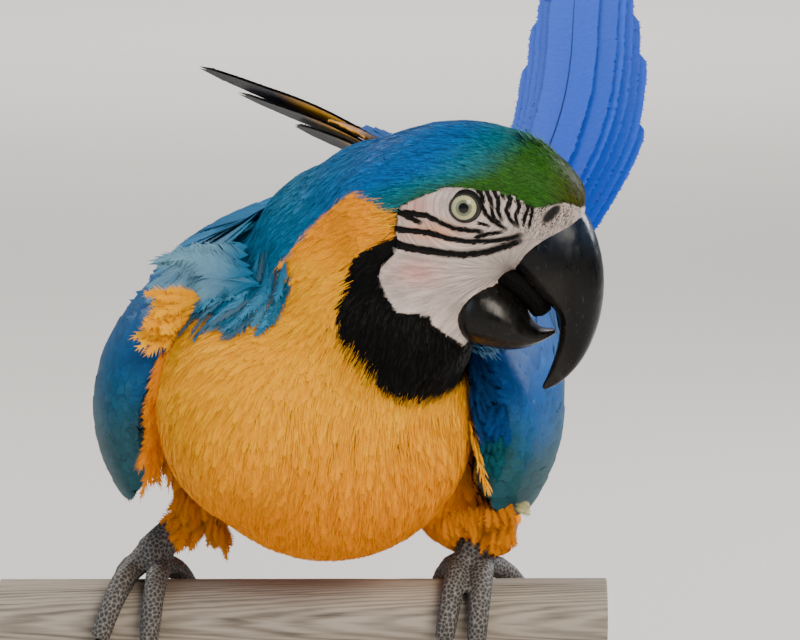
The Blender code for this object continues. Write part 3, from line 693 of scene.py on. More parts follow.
def shafts(name, lines, ups, radius, lift, colour, patches):
    """The tapering quills of long feathers, standing a little proud of their webs."""
    count, stations = lines.shape[:2]
    heading = unit(np.gradient(lines, axis=1))
    side = unit(np.cross(ups, heading))
    share = np.linspace(1, 0.15, stations)[None, :, None]
    corners = 6
    points = []
    for turn in np.radians(np.arange(corners) * 60):
        out = side * math.cos(turn) + ups * math.sin(turn)
        points.append(lines + ups * lift + out * radius * share)
    points = np.stack(points, 2)
    starts = np.arange(count)[:, None] * stations * corners + np.arange((stations - 1) * corners)
    faces = belt(starts.ravel(), corners, flip=True, woven=False)
    item = build_mesh(name, points.reshape(-1, 3), faces)
    set_colour(item, colour)
    spread = np.repeat(patches, stations * corners, axis=0)
    spread = spread + 0.0015 * np.random.default_rng(3).uniform(-1, 1, spread.shape)
    set_map(item, "OFBake", spread)
    set_map(item, "Barbs", spread)
    return finish(item, CLOSE)


STRAND = {
    "along": np.array((0.0, 0.0, 0.55, 0.55, 1.0)),
    "across": np.array((-0.7, 0.7, -1.0, 1.0, 0.0)),
    "free": np.array((0.2, 0.2, 0.6, 0.6, 1.0)),
    "barb": np.array((0.0, 0.0, 0.5, 0.5, 1.0)),
    "jitter": 0.05,
    "faces": np.array(((0, 2, 1), (1, 2, 3), (2, 4, 3))),
}


# ------------------------------------------------------------------ materials
def link(tree, node, **sources):
    """Links sources to a node's inputs, by name or number; a node stands for its first output."""
    for key, source in sources.items():
        slot = int(key[1:]) if key[0] == "n" and key[1:].isdigit() else key.replace("_", " ")
        tree.links.new(getattr(source, "outputs", [source])[0], node.inputs[slot])


def add(tree, kind, settings=None, stops=(), **sources):
    """Adds a node, sets its properties, inputs and (position, colour) stops, and links its inputs."""
    node = tree.nodes.new("ShaderNode" + kind)
    for key, value in (settings or {}).items():
        if isinstance(key, int) or key in node.inputs:
            node.inputs[key].default_value = value
        else:
            setattr(node, key, value)
    elements = node.color_ramp.elements if stops else ()
    for _ in stops[2:]:
        elements.new(0.5)
    for element, (position, colour) in zip(elements, stops):
        element.position = position
        element.color = (*colour, 1)
    link(tree, node, **sources)
    return node


def new_material(name, **settings):
    """A Principled material; returns it, its tree and its shader."""
    material = bpy.data.materials.new(name)
    material.use_nodes = True
    tree = material.node_tree
    shader = tree.nodes["Principled BSDF"]
    for key, value in settings.items():
        shader.inputs[key.replace("_", " ")].default_value = value
    return material, tree, shader


def feather_material(name, roughness, specular, coarse, contrast):
    """Keratin barbs: soft, slightly silky vanes with a fine line along every barb.

    Real barbs are about 0.25 mm apart, too fine to show, so they are drawn coarser.
    """
    material, tree, shader = new_material(name, Roughness=roughness, IOR=1.54, Specular_IOR_Level=specular)
    pitch = sizes().barb_pitch / MM * coarse
    colour = add(tree, "Attribute", {"attribute_name": "marking"})
    places = add(tree, "UVMap", {"uv_map": "Barbs"})
    lines = {"wave_type": "BANDS", "bands_direction": "Y", "Scale": 1 / (pitch * 3.2)}
    settings = {**lines, "Distortion": 1.6, "Detail": 2.0, "Detail Scale": 1.5}
    wave = add(tree, "TexWave", settings, Vector=places)
    grain = add(tree, "TexNoise", {"Scale": 0.35, "Detail": 4.0, "Roughness": 0.6}, Vector=places)
    mixed = add(tree, "Math", {"operation": "MULTIPLY"}, n0=wave.outputs["Fac"], n1=grain)
    bright = {"From Max": 0.6, "To Min": 1 - contrast, "To Max": 1 + contrast * 0.5}
    level = add(tree, "MapRange", bright, Value=mixed)
    shaded = add(tree, "VectorMath", {"operation": "SCALE"}, n0=colour, Scale=level)
    bump = add(tree, "Bump", {"Strength": 0.35, "Distance": 0.0002}, Height=mixed)
    link(tree, shader, Base_Color=shaded, Normal=bump)
    return material


def skin_material(name, roughness, specular, inner_glow):
    """Living skin: fine creases fan from the gape and ring the eye; it is soft and faintly moist."""
    material, tree, shader = new_material(
        name, Roughness=roughness, IOR=1.4, Specular_IOR_Level=specular,
        Subsurface_Weight=inner_glow, Subsurface_Scale=0.001,
    )
    colour = add(tree, "Attribute", {"attribute_name": "marking"})
    folds = add(tree, "Attribute", {"attribute_name": "folds"}).outputs["Vector"]
    crease = add(tree, "TexNoise", {"Scale": 1.0, "Detail": 3.0, "Roughness": 0.55}, Vector=folds)
    sharp = add(tree, "MapRange", {"From Min": 0.38, "From Max": 0.62}, Value=crease)
    place = add(tree, "TexCoord").outputs["Object"]
    pores = add(tree, "TexVoronoi", {"Scale": 1400.0}, Vector=place)
    # Painted shade: the colour darkens to 0.68 of itself in the creases
    level = add(tree, "MapRange", {"To Min": 0.68, "To Max": 1.06}, Value=sharp)
    shaded = add(tree, "VectorMath", {"operation": "SCALE"}, n0=colour, Scale=level)
    fine = add(tree, "Bump", {"Strength": 0.25, "Distance": 0.0001}, Height=pores)
    bump = add(tree, "Bump", {"Strength": 0.8, "Distance": 0.0004}, Height=sharp, Normal=fine)
    link(tree, shader, Base_Color=shaded, Normal=bump)
    return material


def horn_material(name):
    """Keratin sheath of the bill and claws: polished black with fine scratches and flaked wear."""
    material, tree, shader = new_material(name, Roughness=0.28, IOR=1.54, Specular_IOR_Level=0.2)
    colour = add(tree, "Attribute", {"attribute_name": "marking"})
    place = add(tree, "TexCoord").outputs["Object"]
    stretched = add(tree, "Mapping", {"Scale": (220.0, 220.0, 60.0)}, Vector=place)
    streak = add(tree, "TexNoise", {"Scale": 1.0, "Detail": 6.0, "Roughness": 0.65}, Vector=stretched)
    scratch = {"Scale": (1500.0, 1500.0, 130.0), "Rotation": (0.0, 0.5, 0.0)}
    thin = add(tree, "Mapping", scratch, Vector=place)
    nick = add(tree, "TexNoise", {"Scale": 1.0, "Detail": 2.0}, Vector=thin)
    nicked = add(tree, "MapRange", {"From Min": 0.66, "From Max": 0.74, "To Max": 0.3}, Value=nick)
    flake = add(tree, "TexNoise", {"Scale": 160.0, "Detail": 5.0, "Roughness": 0.7}, Vector=place)
    worn = add(tree, "MapRange", {"From Min": 0.60, "From Max": 0.74}, Value=flake)
    bright = {"From Min": 0.3, "From Max": 0.8, "To Min": 0.7, "To Max": 1.7}
    level = add(tree, "MapRange", bright, Value=streak)
    shaded = add(tree, "VectorMath", {"operation": "SCALE"}, n0=colour, Scale=level)
    wear = add(tree, "Math", {"operation": "MULTIPLY", 1: 0.22}, n0=worn)
    # 6 and 7 are the two colours that a Mix node blends, and 2 is the blend
    mixed = add(tree, "Mix", {"data_type": "RGBA", 7: (0.10, 0.085, 0.07, 1)}, n0=wear, n6=shaded).outputs[2]
    lined = add(tree, "Mix", {"data_type": "RGBA", 7: (0.07, 0.08, 0.09, 1)}, n0=nicked, n6=mixed).outputs[2]
    polish = {"From Min": 0.35, "From Max": 0.75, "To Min": 0.20, "To Max": 0.46}
    rough = add(tree, "MapRange", polish, Value=streak)
    bump = add(tree, "Bump", {"Strength": 0.3, "Distance": 0.0002}, Height=flake)
    link(tree, shader, Base_Color=lined, Roughness=rough, Normal=bump)
    return material


def eye_material(name):
    """A wet eye: pale yellow-green iris with fine radial fibres round a black pupil, clear glossy cornea."""
    material, tree, shader = new_material(
        name, Roughness=0.25, IOR=1.376, Specular_IOR_Level=0.3, Coat_Weight=0.5, Coat_Roughness=0.01
    )
    tone = colours()
    pupil, dark, pale, inner = (0.003, 0.003, 0.004), tone.iris_dark, tone.iris_pale, tone.iris_inner
    stops = (
        (0.0, pupil), (0.235, pupil), (0.25, dark), (0.27, inner), (0.37, inner), (0.44, pale),
        (0.595, pale), (0.63, dark), (0.66, (0.008, 0.008, 0.007)),
    )
    ring = add(tree, "Attribute", {"attribute_name": "ring"}).outputs["Vector"]
    parts = add(tree, "SeparateXYZ", Vector=ring)
    fibre = add(tree, "TexNoise", {"Scale": 1.0, "Detail": 3.0}, Vector=ring)
    wobble = add(tree, "MapRange", {"To Min": -0.006, "To Max": 0.006}, Value=fibre)
    reach = add(tree, "Math", {"operation": "ADD"}, n0=parts.outputs["Z"], n1=wobble)
    colour = add(tree, "ValToRGB", stops=stops, Fac=reach)
    level = add(tree, "MapRange", {"To Min": 0.72, "To Max": 1.22}, Value=fibre)
    shaded = add(tree, "VectorMath", {"operation": "SCALE"}, n0=colour, Scale=level)
    link(tree, shader, Base_Color=shaded)
    return material


def scale_material(name):
    """Horny foot scales: dry grey plates with paler skin between them."""
    material, tree, shader = new_material(name, Roughness=0.62, IOR=1.45)
    colour = add(tree, "Attribute", {"attribute_name": "marking"})
    place = add(tree, "TexCoord").outputs["Object"]
    dust = add(tree, "TexNoise", {"Scale": 900.0, "Detail": 5.0, "Roughness": 0.7}, Vector=place)
    level = add(tree, "MapRange", {"To Min": 0.6, "To Max": 1.45}, Value=dust)
    shaded = add(tree, "VectorMath", {"operation": "SCALE"}, n0=colour, Scale=level)
    bump = add(tree, "Bump", {"Strength": 0.4, "Distance": 0.0001}, Height=dust)
    link(tree, shader, Base_Color=shaded, Normal=bump)
    return material


def wood_material(name, dark, light, roughness, along, bands, relief):
    """Sawn or weathered wood: grain stretched along its length, darker pores and late wood."""
    material, tree, shader = new_material(name, Roughness=roughness, IOR=1.5)
    dark, light = linear(dark), linear(light)
    between = tuple((a + b) / 2 for a, b in zip(dark, light))
    place = add(tree, "TexCoord").outputs["Object"]
    squeeze = add(tree, "Mapping", {"Scale": along}, Vector=place)
    fibres = {"Scale": 1.0, "Detail": 8.0, "Roughness": 0.62, "Distortion": 0.6}
    grain = add(tree, "TexNoise", fibres, Vector=squeeze)
    rings = {"Scale": bands, "Distortion": 5.0, "Detail": 3.0, "bands_direction": "Y"}
    late = add(tree, "TexWave", rings, Vector=squeeze).outputs["Fac"]
    both = add(tree, "Math", {"operation": "MULTIPLY_ADD", 1: 0.35}, n0=late, n2=grain)
    colour = add(tree, "ValToRGB", stops=((0.25, dark), (0.5, between), (0.85, light)), Fac=both)
    bump = add(tree, "Bump", {"Strength": 0.6, "Distance": relief}, Height=both)
    link(tree, shader, Base_Color=colour, Normal=bump)
    return material


def steel_material(name):
    """Brushed steel rod: fine lines round the rod break up its highlight."""
    material, tree, shader = new_material(name, Metallic=1.0, Roughness=0.3)
    place = add(tree, "TexCoord").outputs["Object"]
    squeeze = add(tree, "Mapping", {"Scale": (300.0, 300.0, 9000.0)}, Vector=place)
    lines = add(tree, "TexNoise", {"Scale": 1.0, "Detail": 3.0}, Vector=squeeze)
    colour = add(tree, "ValToRGB", stops=((0.3, linear("#8f9092")), (0.7, linear("#c8c9ca"))), Fac=lines)
    rough = add(tree, "MapRange", {"To Min": 0.2, "To Max": 0.42}, Value=lines)
    link(tree, shader, Base_Color=colour, Roughness=rough)
    return material


def paper_material(name):
    """Matt studio paper: a faint tooth keeps the wide floor from looking like plain light."""
    material, tree, shader = new_material(name, Roughness=0.9)
    place = add(tree, "TexCoord").outputs["Object"]
    tooth = add(tree, "TexNoise", {"Scale": 400.0, "Detail": 3.0}, Vector=place)
    colour = add(tree, "ValToRGB", stops=((0.3, linear("#d2d0cc")), (0.7, linear("#dad8d4"))), Fac=tooth)
    link(tree, shader, Base_Color=colour)
    return material


# Who makes each material, and with which numbers
LOOKS = {
    SOFT: (feather_material, {"roughness": 0.60, "specular": 0.06, "coarse": 1.0, "contrast": 0.30}),
    SHORT: (feather_material, {"roughness": 0.44, "specular": 0.10, "coarse": 0.8, "contrast": 0.35}),
    CLOSE: (feather_material, {"roughness": 0.45, "specular": 0.07, "coarse": 1.0, "contrast": 0.22}),
    SKIN: (skin_material, {"roughness": 0.5, "specular": 0.5, "inner_glow": 0.12}),
    "dry_dark_tongue": (skin_material, {"roughness": 0.75, "specular": 0.15, "inner_glow": 0.0}),
    HORN: (horn_material, {}),
    "wet_cornea_over_pale_iris": (eye_material, {}),
    SCALES: (scale_material, {}),
    "weathered_grey_branch_wood": (
        wood_material,
        {
            "dark": "#4a423b", "light": "#a39a8e", "roughness": 0.85, "along": (14.0, 260.0, 260.0),
            "bands": 1.2, "relief": 0.0004,
        },
    ),
    "oiled_oak": (
        wood_material,
        {
            "dark": "#5a3a1e", "light": "#a87a48", "roughness": 0.45, "along": (9.0, 130.0, 130.0),
            "bands": 1.0, "relief": 0.00015,
        },
    ),
    "brushed_stainless_steel": (steel_material, {}),
    "pale_studio_paper": (paper_material, {}),
}


# The materials made so far, by look
MADE = {}


def material_of(look):
    """The material of this look, made at its first use."""
    if look not in MADE:
        maker, numbers = LOOKS[look]
        MADE[look] = maker(look, **numbers)
    return MADE[look]


# ------------------------------------------------------------------ settings
def tint(name, code, about):
    """A colour that the user may change."""
    return bpy.props.FloatVectorProperty(
        name=name, description=about, default=linear(code), size=3, min=0.0, max=1.0, subtype="COLOR"
    )


def span(name, metres, about):
    """A length that the user may change."""
    return bpy.props.FloatProperty(
        name=name, description=about, default=metres, min=0.0, subtype="DISTANCE", unit="LENGTH"
    )


class MacawColours(bpy.types.PropertyGroup):
    crown_blue: tint("Crown blue", "#0560a8", "Back of the crown and nape")
    crown_teal: tint("Crown teal", "#046c80", "Where the crown turns from blue to green")
    crown_green: tint("Crown green", "#265a10", "Front of the crown")
    forehead_olive: tint("Forehead olive", "#403e05", "Feathers next to the bill")
    back_blue: tint("Back blue", "#04678f", "Hind neck, mantle and rump")
    breast_gold: tint("Breast gold", "#ffae00", "Breast")
    belly_orange: tint("Belly orange", "#ff9800", "Belly and thighs")
    neck_orange: tint("Neck orange", "#fb9400", "Side of the neck")
    bib_black: tint("Bib black", "#060606", "Throat and the lines on the face")
    bib_edge: tint("Bib edge", "#3c3a04", "Olive feathers that edge the bib")
    bare_white: tint("Bare white", "#c3b4ae", "Bare skin of the face")
    bare_pink: tint("Bare pink", "#cc948b", "Blush on the cheek")
    bare_peach: tint("Bare peach", "#d59a78", "Folds under the eye")
    wing_blue: tint("Wing blue", "#014f98", "Upper part of the folded wing")
    wing_teal: tint("Wing teal", "#09434d", "Lower part of the folded wing")
    # Painted highlight: a pale colour that stands for the light on the wing's front rim, the sunlit scapulars
    # and the mantle
    wing_rim_highlight: tint("Wing rim", "#7fa9b8", "Pale outer rim of the wing")
    flight_dark: tint("Flight dark", "#10131c", "Inner webs and tips of the flight feathers")
    under_gold: tint("Under gold", "#b07a10", "Underside of wing and tail")
    tail_blue: tint("Tail blue", "#1a50cc", "Upper side of the tail")
    tail_violet: tint("Tail violet", "#2b35b4", "Base of the tail feathers")
    iris_pale: tint("Iris pale", "#b3b184", "Outer iris")
    iris_inner: tint("Iris inner", "#69715a", "Inner iris")
    iris_dark: tint("Iris dark", "#3c4032", "Rims of the iris")


class MacawSizes(bpy.types.PropertyGroup):
    skin_voxel: span("Skin grain", 0.0017, "Size of the skin mesh's faces")
    barb_pitch: span("Barb pitch", 0.00055, "Distance between the lines drawn for the barbs")


def colours():
    return bpy.context.scene.macaw_colours


def sizes():
    return bpy.context.scene.macaw_sizes


# ------------------------------------------------------------------ the lie of the coat
# Tracts of feathers: place, way that they lie, length, width and rise (mm). Those of the head are in its
# own frame, first the ones that both sides have (r is that of the right side), then the middle ones.
HEAD_SIDE_TRACTS = (
    ((38, 13, 9), (-1, 0, 0.35), 4.2, 1.9, 0.7),
    ((22, 19, 10), (-1, 0, 0.20), 4.6, 2.0, 0.8),
    ((8, 20, 16), (-1, 0, 0.12), 5.2, 2.2, 0.9),
    ((-14, 24, 9), (-1, 0, -0.02), 5.6, 2.3, 1.0),
    ((-28, 24, 4), (-1, 0, -0.10), 7.0, 2.6, 1.2),
    ((-32, 23, -8), (-1, 0, -0.22), 8.0, 2.8, 1.3),
    ((-38, 22, -24), (-0.75, 0, -0.66), 7.5, 2.8, 1.2),
    ((-40, 20, -45), (-0.35, 0, -0.95), 8.0, 3.2, 1.4),
    ((-14, 16, -50), (-0.2, 0, -1), 6.5, 2.6, 1.2),
)
HEAD_MIDDLE_TRACTS = (
    ((49, 0, 3), (-0.6, 0, 0.8), 3.6, 1.8, 0.6),
    ((24, 0, 28), (-1, 0, 0.12), 6.0, 2.6, 1.0),
    ((0, 0, 31), (-1, 0, -0.06), 7.0, 2.9, 1.1),
    ((-26, 0, 26), (-1, 0, -0.35), 9.0, 3.6, 1.4),
    ((-48, 0, 8), (-0.8, 0, -0.65), 12.0, 4.6, 1.8),
    ((-20, 8, -68), (-0.1, 0.1, -1), 8.5, 3.4, 1.5),
    ((-2, 0, -52), (-0.35, 0, -0.95), 5.5, 2.4, 1.0),
)
BODY_TRACTS = (
    ((0.012, -0.032, 0.275), (-0.85, 0.15, -0.5), 12, 4.0, 1.8),
    ((-0.005, -0.022, 0.262), (-0.75, 0.25, -0.7), 14, 4.8, 2.0),
    ((-0.018, 0.010, 0.272), (-0.65, 0.4, -0.65), 15, 6.4, 2.1),
    ((0.012, -0.036, 0.240), (-0.45, 0.05, -0.9), 14, 4.8, 2.1),
    ((0.000, -0.033, 0.205), (-0.15, 0.15, -1), 16, 5.4, 2.3),
    ((-0.045, -0.010, 0.215), (-0.35, 0.30, -0.9), 16, 5.6, 2.3),
    ((0.045, -0.008, 0.200), (0.10, 0.30, -0.95), 16, 5.4, 2.3),
    ((-0.030, 0.000, 0.165), (-0.1, 0.70, -0.6), 16, 5.8, 2.3),
    ((0.020, 0.000, 0.160), (0.0, 0.70, -0.6), 16, 5.8, 2.3),
    ((0.005, 0.060, 0.152), (0.2, 1.0, 0.0), 18, 6.5, 2.2),
    ((0.030, 0.130, 0.185), (0.35, 0.9, 0.35), 20, 7.5, 2.2),
    ((-0.040, 0.020, 0.262), (-0.55, 0.55, -0.6), 18, 9.0, 2.2),
    ((-0.010, 0.070, 0.288), (0.30, 0.95, -0.05), 20, 10.5, 2.2),
    ((0.022, 0.125, 0.282), (0.34, 0.93, 0.0), 22, 11.0, 2.2),
    ((0.055, 0.190, 0.270), (0.36, 0.90, 0.25), 26, 11.0, 2.0),
    ((0.062, 0.195, 0.232), (0.36, 0.90, 0.25), 24, 10.0, 1.8),
    ((0.070, 0.052, 0.168), (0.20, 0.05, -1), 12, 4.6, 1.9),
    ((0.066, 0.030, 0.178), (0.15, 0.15, -1), 13, 4.8, 2.0),
    ((-0.046, 0.062, 0.172), (-0.10, 0.15, -1), 12, 4.6, 1.9),
)


def tracts():
    """Where each tract is, which way its feathers lie, and their length, width and rise in mm."""
    rows = [
        (on_head(f, r * sign, u), head_way(*way), *measures)
        for table, signs in ((HEAD_SIDE_TRACTS, (-1, 1)), (HEAD_MIDDLE_TRACTS, (1,)))
        for sign in signs
        for (f, r, u), way, *measures in table
    ]
    rows += BODY_TRACTS
    return (
        np.array([r[0] for r in rows], float),
        unit(np.array([r[1] for r in rows], float)),
        np.array([r[2:] for r in rows], float),
    )


TRACTS = tracts()


def lie_of(points):
    """The way, length, width and rise of the feathers at each point, blended from the tracts."""
    places, ways, measures = TRACTS
    gap = np.linalg.norm(points[:, None] - places[None], axis=-1)
    weight = 1 / (gap**4 + 1e-10)
    weight /= weight.sum(1, keepdims=True)
    return unit(weight @ ways), weight @ measures


def coat_depth(points):
    """How far the skin lies under the coat's outer face."""
    _, measures = lie_of(points)
    return np.where(is_bare(points), 0.0001, measures[:, 2] * MM)


# ------------------------------------------------------------------ pieces
class MACAW_OT_skin(bpy.types.Operator):
    """One skin under the head, neck, trunk and thighs, bare on the face"""

    bl_idname = "macaw.skin"
    bl_label = "Skin"

    def execute(self, context):
        inner = [("upper_mandible", -0.0006), ("lower_mandible", -0.0006)]
        inner += [("eye_left", -0.0008), ("eye_right", -0.0008)]
        item = smooth_copy("skin", [*FLESH, *inner], sizes().skin_voxel, 5, swell=0.0003)
        mesh = item.data
        refine(mesh, is_bare)
        points = read(mesh.vertices, "co")
        f, r, u = to_head(points).T
        depth = coat_depth(points) + self.dents(f, r, u) + 0.0003
        points = points - read(mesh.vertices, "normal") * depth[:, None]
        move_points(mesh, points)
        tone = colours()
        # Painted shade: under the coat the skin takes the plumage colour at 0.45 of its brightness, so that
        # gaps between feathers look shaded
        shaded_under_coat = marking(points, tone) * 0.45
        set_colour(item, np.where(is_bare(points)[:, None], bare_colour(points, tone), shaded_under_coat))
        set_vector(item, "folds", self.folds(f, u))
        finish(item, SKIN, FLESH)
        return {"FINISHED"}

    def dents(self, f, r, u):
        """Depth of the nostril, of the groove and swelling round the eye, and of the face's folds."""
        dent = nostril_depth(f, u) * (np.abs(r) > 6) * 0.0012
        reach = np.hypot((f - EYE_SHIFT[0]) * 0.94, u - EYE_SHIFT[1])
        dent -= 0.00045 * np.exp(-(((reach - 8.3) / 1.0) ** 2)) * (np.abs(r) > 12)
        dent += 0.00025 * np.exp(-(((reach - 10.4) / 0.7) ** 2)) * (np.abs(r) > 12)
        for _, line in FACE_LINES[:4]:
            dent += 0.0003 * np.exp(-((to_line(f, u, line) / 0.9) ** 2)) * (np.abs(r) > 8)
        return dent

    def folds(self, f, u):
        """Where the creases run: a fan from the gape below the eye's line, and rings round the eye above."""
        turn = np.arctan2(u - GAPE[1], GAPE[0] - f)
        reach = np.hypot(f - GAPE[0], u - GAPE[1])
        fan = np.stack([turn * 16, reach * 0.10, turn * 0], 1)
        reach = np.hypot(f - EYE_SHIFT[0], u - EYE_SHIFT[1])
        rings = np.stack([reach * 0.85, np.abs(np.arctan2(u, f)) * 0.9 + 9, turn * 0], 1)
        line = np.array(FACE_LINES[0][1])
        return np.where((u > np.interp(f, line[:, 0], line[:, 1]))[:, None], rings, fan)


def coat_piece(name, surface, wanted, seed, pattern, look, thin=0.5, root=0.8):
    """Scatters contour feathers over the wanted faces of the skin."""
    _, face_measures = lie_of(surface.centres)
    roots, faces = surface.scatter(face_measures[:, 1] * MM * thin, wanted, seed)
    ways, measures = lie_of(roots)
    rng = np.random.default_rng(seed + 1)
    count = len(roots)
    ways = unit(ways + rng.normal(0, 0.09, (count, 3)))
    vary = rng.normal(1, 0.10, (count, 3)).clip(0.7, 1.35)
    lengths, widths, rises = (measures * vary * MM).T
    lines, ups = surface.run(roots, ways, lengths)
    tips = marking((lines[:, -2] + lines[:, -1]) / 2, colours())
    # Painted shade: each root is the tip's colour darkened by the factor root, where the feathers overlap
    feathers(
        name, lines, ups, widths, rises, (tips * root, tips), vane(*pattern), surface.map[faces], seed,
        1.0, 0.04, 0.45, look=look,
    )


def strand_piece(name, surface, wanted, seed, gap, look, reach, width, contrast=0.16):
    """Single long barbs lying on the coat, which give it its silky grain."""
    roots, faces = surface.scatter(gap * MM, wanted, seed)
    ways, measures = lie_of(roots)
    rng = np.random.default_rng(seed + 1)
    count = len(roots)
    ways = unit(ways + rng.normal(0, 0.10, (count, 3)))
    lengths = measures[:, 0] * reach * rng.normal(1, 0.25, count).clip(0.5, 1.6) * MM
    lines, ups = surface.run(roots, ways, lengths, 3)
    tips = marking(lines[:, -1], colours()) * rng.normal(1.02, contrast, (count, 1)).clip(0.5, 1.6)
    rises = measures[:, 2] * MM * rng.uniform(1.0, 1.2, count)
    widths = width * MM * rng.uniform(0.7, 1.3, count)
    feathers(
        name, lines, ups, widths, rises, (tips * 0.9, tips), STRAND, surface.map[faces], seed,
        1.0, 0.0, 0.75, look=look,
    )


class MACAW_OT_coat(bpy.types.Operator):
    """Contour feathers of the head, neck and body, laid along the body in overlapping vanes"""

    bl_idname = "macaw.coat"
    bl_label = "Coat"

    def execute(self, context):
        surface = Surface(bpy.data.objects["skin"])
        f, r, u = to_head(surface.centres).T
        y, z = surface.centres[:, 1], surface.centres[:, 2]
        bare = is_bare(surface.centres)
        head = (f > -30) & (u > -20) & (y < HEAD_BACK)
        bib = ~head & inside(f, u, BIB_OUTLINE) & (y < BIB_BACK)
        buried = (f > 12) & (u < -4) & ~bare
        rest = ~(head | bib | bare | buried)
        blue = upper_side(surface.centres) > 0
        gold = rest & ~blue
        crown = head & ~bare & ~buried
        low, neck = z < 0.205, z > 0.235
        rear = y > np.where(z < 0.185, 0.055, 0.028)
        shown = (y < 0.05) & ~bare & ~buried & ~crown
        # how many barbs to a side, how far the web is joined, and how the barbs slant
        small, fine, broad = (6, 0.3, 0.34), (14, 0.35, 0.30), (22, 0.4, 0.28)
        coat_piece("coat_crown_green", surface, crown & (f > -2), 11, small, SHORT)
        coat_piece("coat_crown_blue", surface, crown & (f <= -2), 16, small, SHORT)
        coat_piece("coat_bib", surface, bib & ~bare & ~buried, 12, (10, 0.3, 0.34), SHORT)
        coat_piece("coat_neck_blue", surface, rest & blue, 13, fine, SOFT, 0.46)
        coat_piece("coat_gold_neck", surface, gold & ~low & neck & ~(y > 0.028), 14, fine, SOFT, 0.46, 0.9)
        coat_piece("coat_gold_breast", surface, gold & ~low & ~neck & ~rear, 17, broad, SOFT, 0.44, 0.9)
        coat_piece("coat_gold_belly", surface, gold & low & ~rear, 15, broad, SOFT, 0.46, 0.9)
        strand_piece("strands_crown", surface, crown, 61, 0.62, SHORT, 0.9, 0.26, 0.32)
        strand_piece("strands_neck", surface, shown & (blue | bib), 62, 0.9, SOFT, 0.6, 0.3)
        strand_piece("strands_gold", surface, shown & gold, 63, 1.05, SOFT, 0.55, 0.36, 0.10)
        coat_piece("coat_gold_rear", surface, gold & rear & (low | ~neck), 18, (12, 0.4, 0.28), SOFT, 0.56)
        self.mantle(surface)
        self.rump(surface)
        self.crest(surface)
        return {"FINISHED"}

    def crest(self, surface):
        """A few ruffled feathers that stand up from the front of the crown."""
        rng = np.random.default_rng(23)
        count = 90
        places = zip(rng.uniform(24, 42, count), rng.uniform(-6, 10, count))
        roots, faces, _ = surface.cast([on_head(f, r, 40) for f, r in places], [DOWN] * count)
        ways = unit(head_way(-0.8, 0, 0.72) + rng.normal(0, 0.16, (count, 3)))
        lines = straight(roots, ways, rng.normal(0.0064, 0.0010, count), 5)
        facing = unit(head_way(0.5, 0, 0.9) + rng.normal(0, 0.15, (count, 3)))
        facing = unit(square_to(facing, ways))
        tips = marking(lines[:, -1], colours()) * rng.normal(1.1, 0.12, (count, 1))
        widths = rng.normal(0.0016, 0.0002, count)
        feathers(
            "coat_crown_ruffle", lines, np.repeat(facing[:, None], 5, axis=1), widths, 0.0003,
            (tips * 0.8, tips), vane(7, 0.3, 0.34), surface.map[faces], 24, 1.2, 0.04, 0.5, look=SHORT,
        )

    def rump(self, surface):
        """Long soft feathers from the back, which fill the space between the folded wings."""
        rng = np.random.default_rng(25)
        count = 46
        share = rng.random(count)
        start = [-0.010 + 0.050 * share, rng.uniform(0.110, 0.175, count), np.full(count, 0.32)]
        roots, faces, _ = surface.cast(np.stack(start, 1), [DOWN] * count)
        roots = roots + (0, 0, 0.001)
        ways = unit(np.array((0.10, 1.0, -0.03)) + rng.normal(0, 0.05, (count, 3)))
        size = np.clip(0.238 - roots[:, 1], 0.03, 0.11) * rng.normal(1, 0.05, count)
        lines = straight(roots, ways, size, 6)
        ups = np.tile(np.array((0.0, 0.0, 1.0)), (count, 6, 1))
        tips = tiled(colours().back_blue, count) * rng.normal(1, 0.10, (count, 1))
        widths = rng.normal(0.0150, 0.001, count)
        feathers(
            "coat_rump_plumes", lines, ups, widths, 0.0015, (tips * 0.8, tips), vane(34, 0.5, 0.24),
            surface.map[faces], 26, 1.2, 0.05, 0.6, look=SOFT,
        )

    def mantle(self, surface):
        """Longer ragged blue tufts that fall from the mantle over the gold of the shoulder."""
        start, end = np.array((-0.046, 0.010, 0.270)), np.array((-0.016, -0.010, 0.272))
        way = end - start
        share = np.clip((surface.centres - start) @ way / (way @ way), 0, 1)
        gap = np.linalg.norm(surface.centres - start - way * share[:, None], axis=1)
        roots, faces = surface.scatter(0.0034, gap < 0.012, 19)
        rng = np.random.default_rng(20)
        count = len(roots)
        ways = unit(np.array((-0.50, 0.0, -1.0)) + rng.normal(0, 0.14, (count, 3)))
        lines, ups = surface.run(roots, ways, rng.normal(0.024, 0.004, count), 6)
        tone = colours()
        # A tenth of the painted rim highlight lightens the mantle tufts
        tips = tiled(blend(tone.back_blue, tone.wing_rim_highlight, 0.10), count) * rng.normal(1, 0.20, (count, 1))
        grey = (rng.random(count) < 0.3) * rng.uniform(0.3, 0.7, count)
        tips = blend(tips, (0.045, 0.050, 0.062), grey)
        widths, rises = rng.normal(0.0068, 0.0008, count), rng.normal(0.0030, 0.0004, count)
        feathers(
            "coat_mantle_tufts", lines, ups, widths, rises, (tips * 0.8, tips), vane(22, 0.35, 0.30),
            surface.map[faces], 21, 1.4, 0.04, 0.6, look=SOFT,
        )


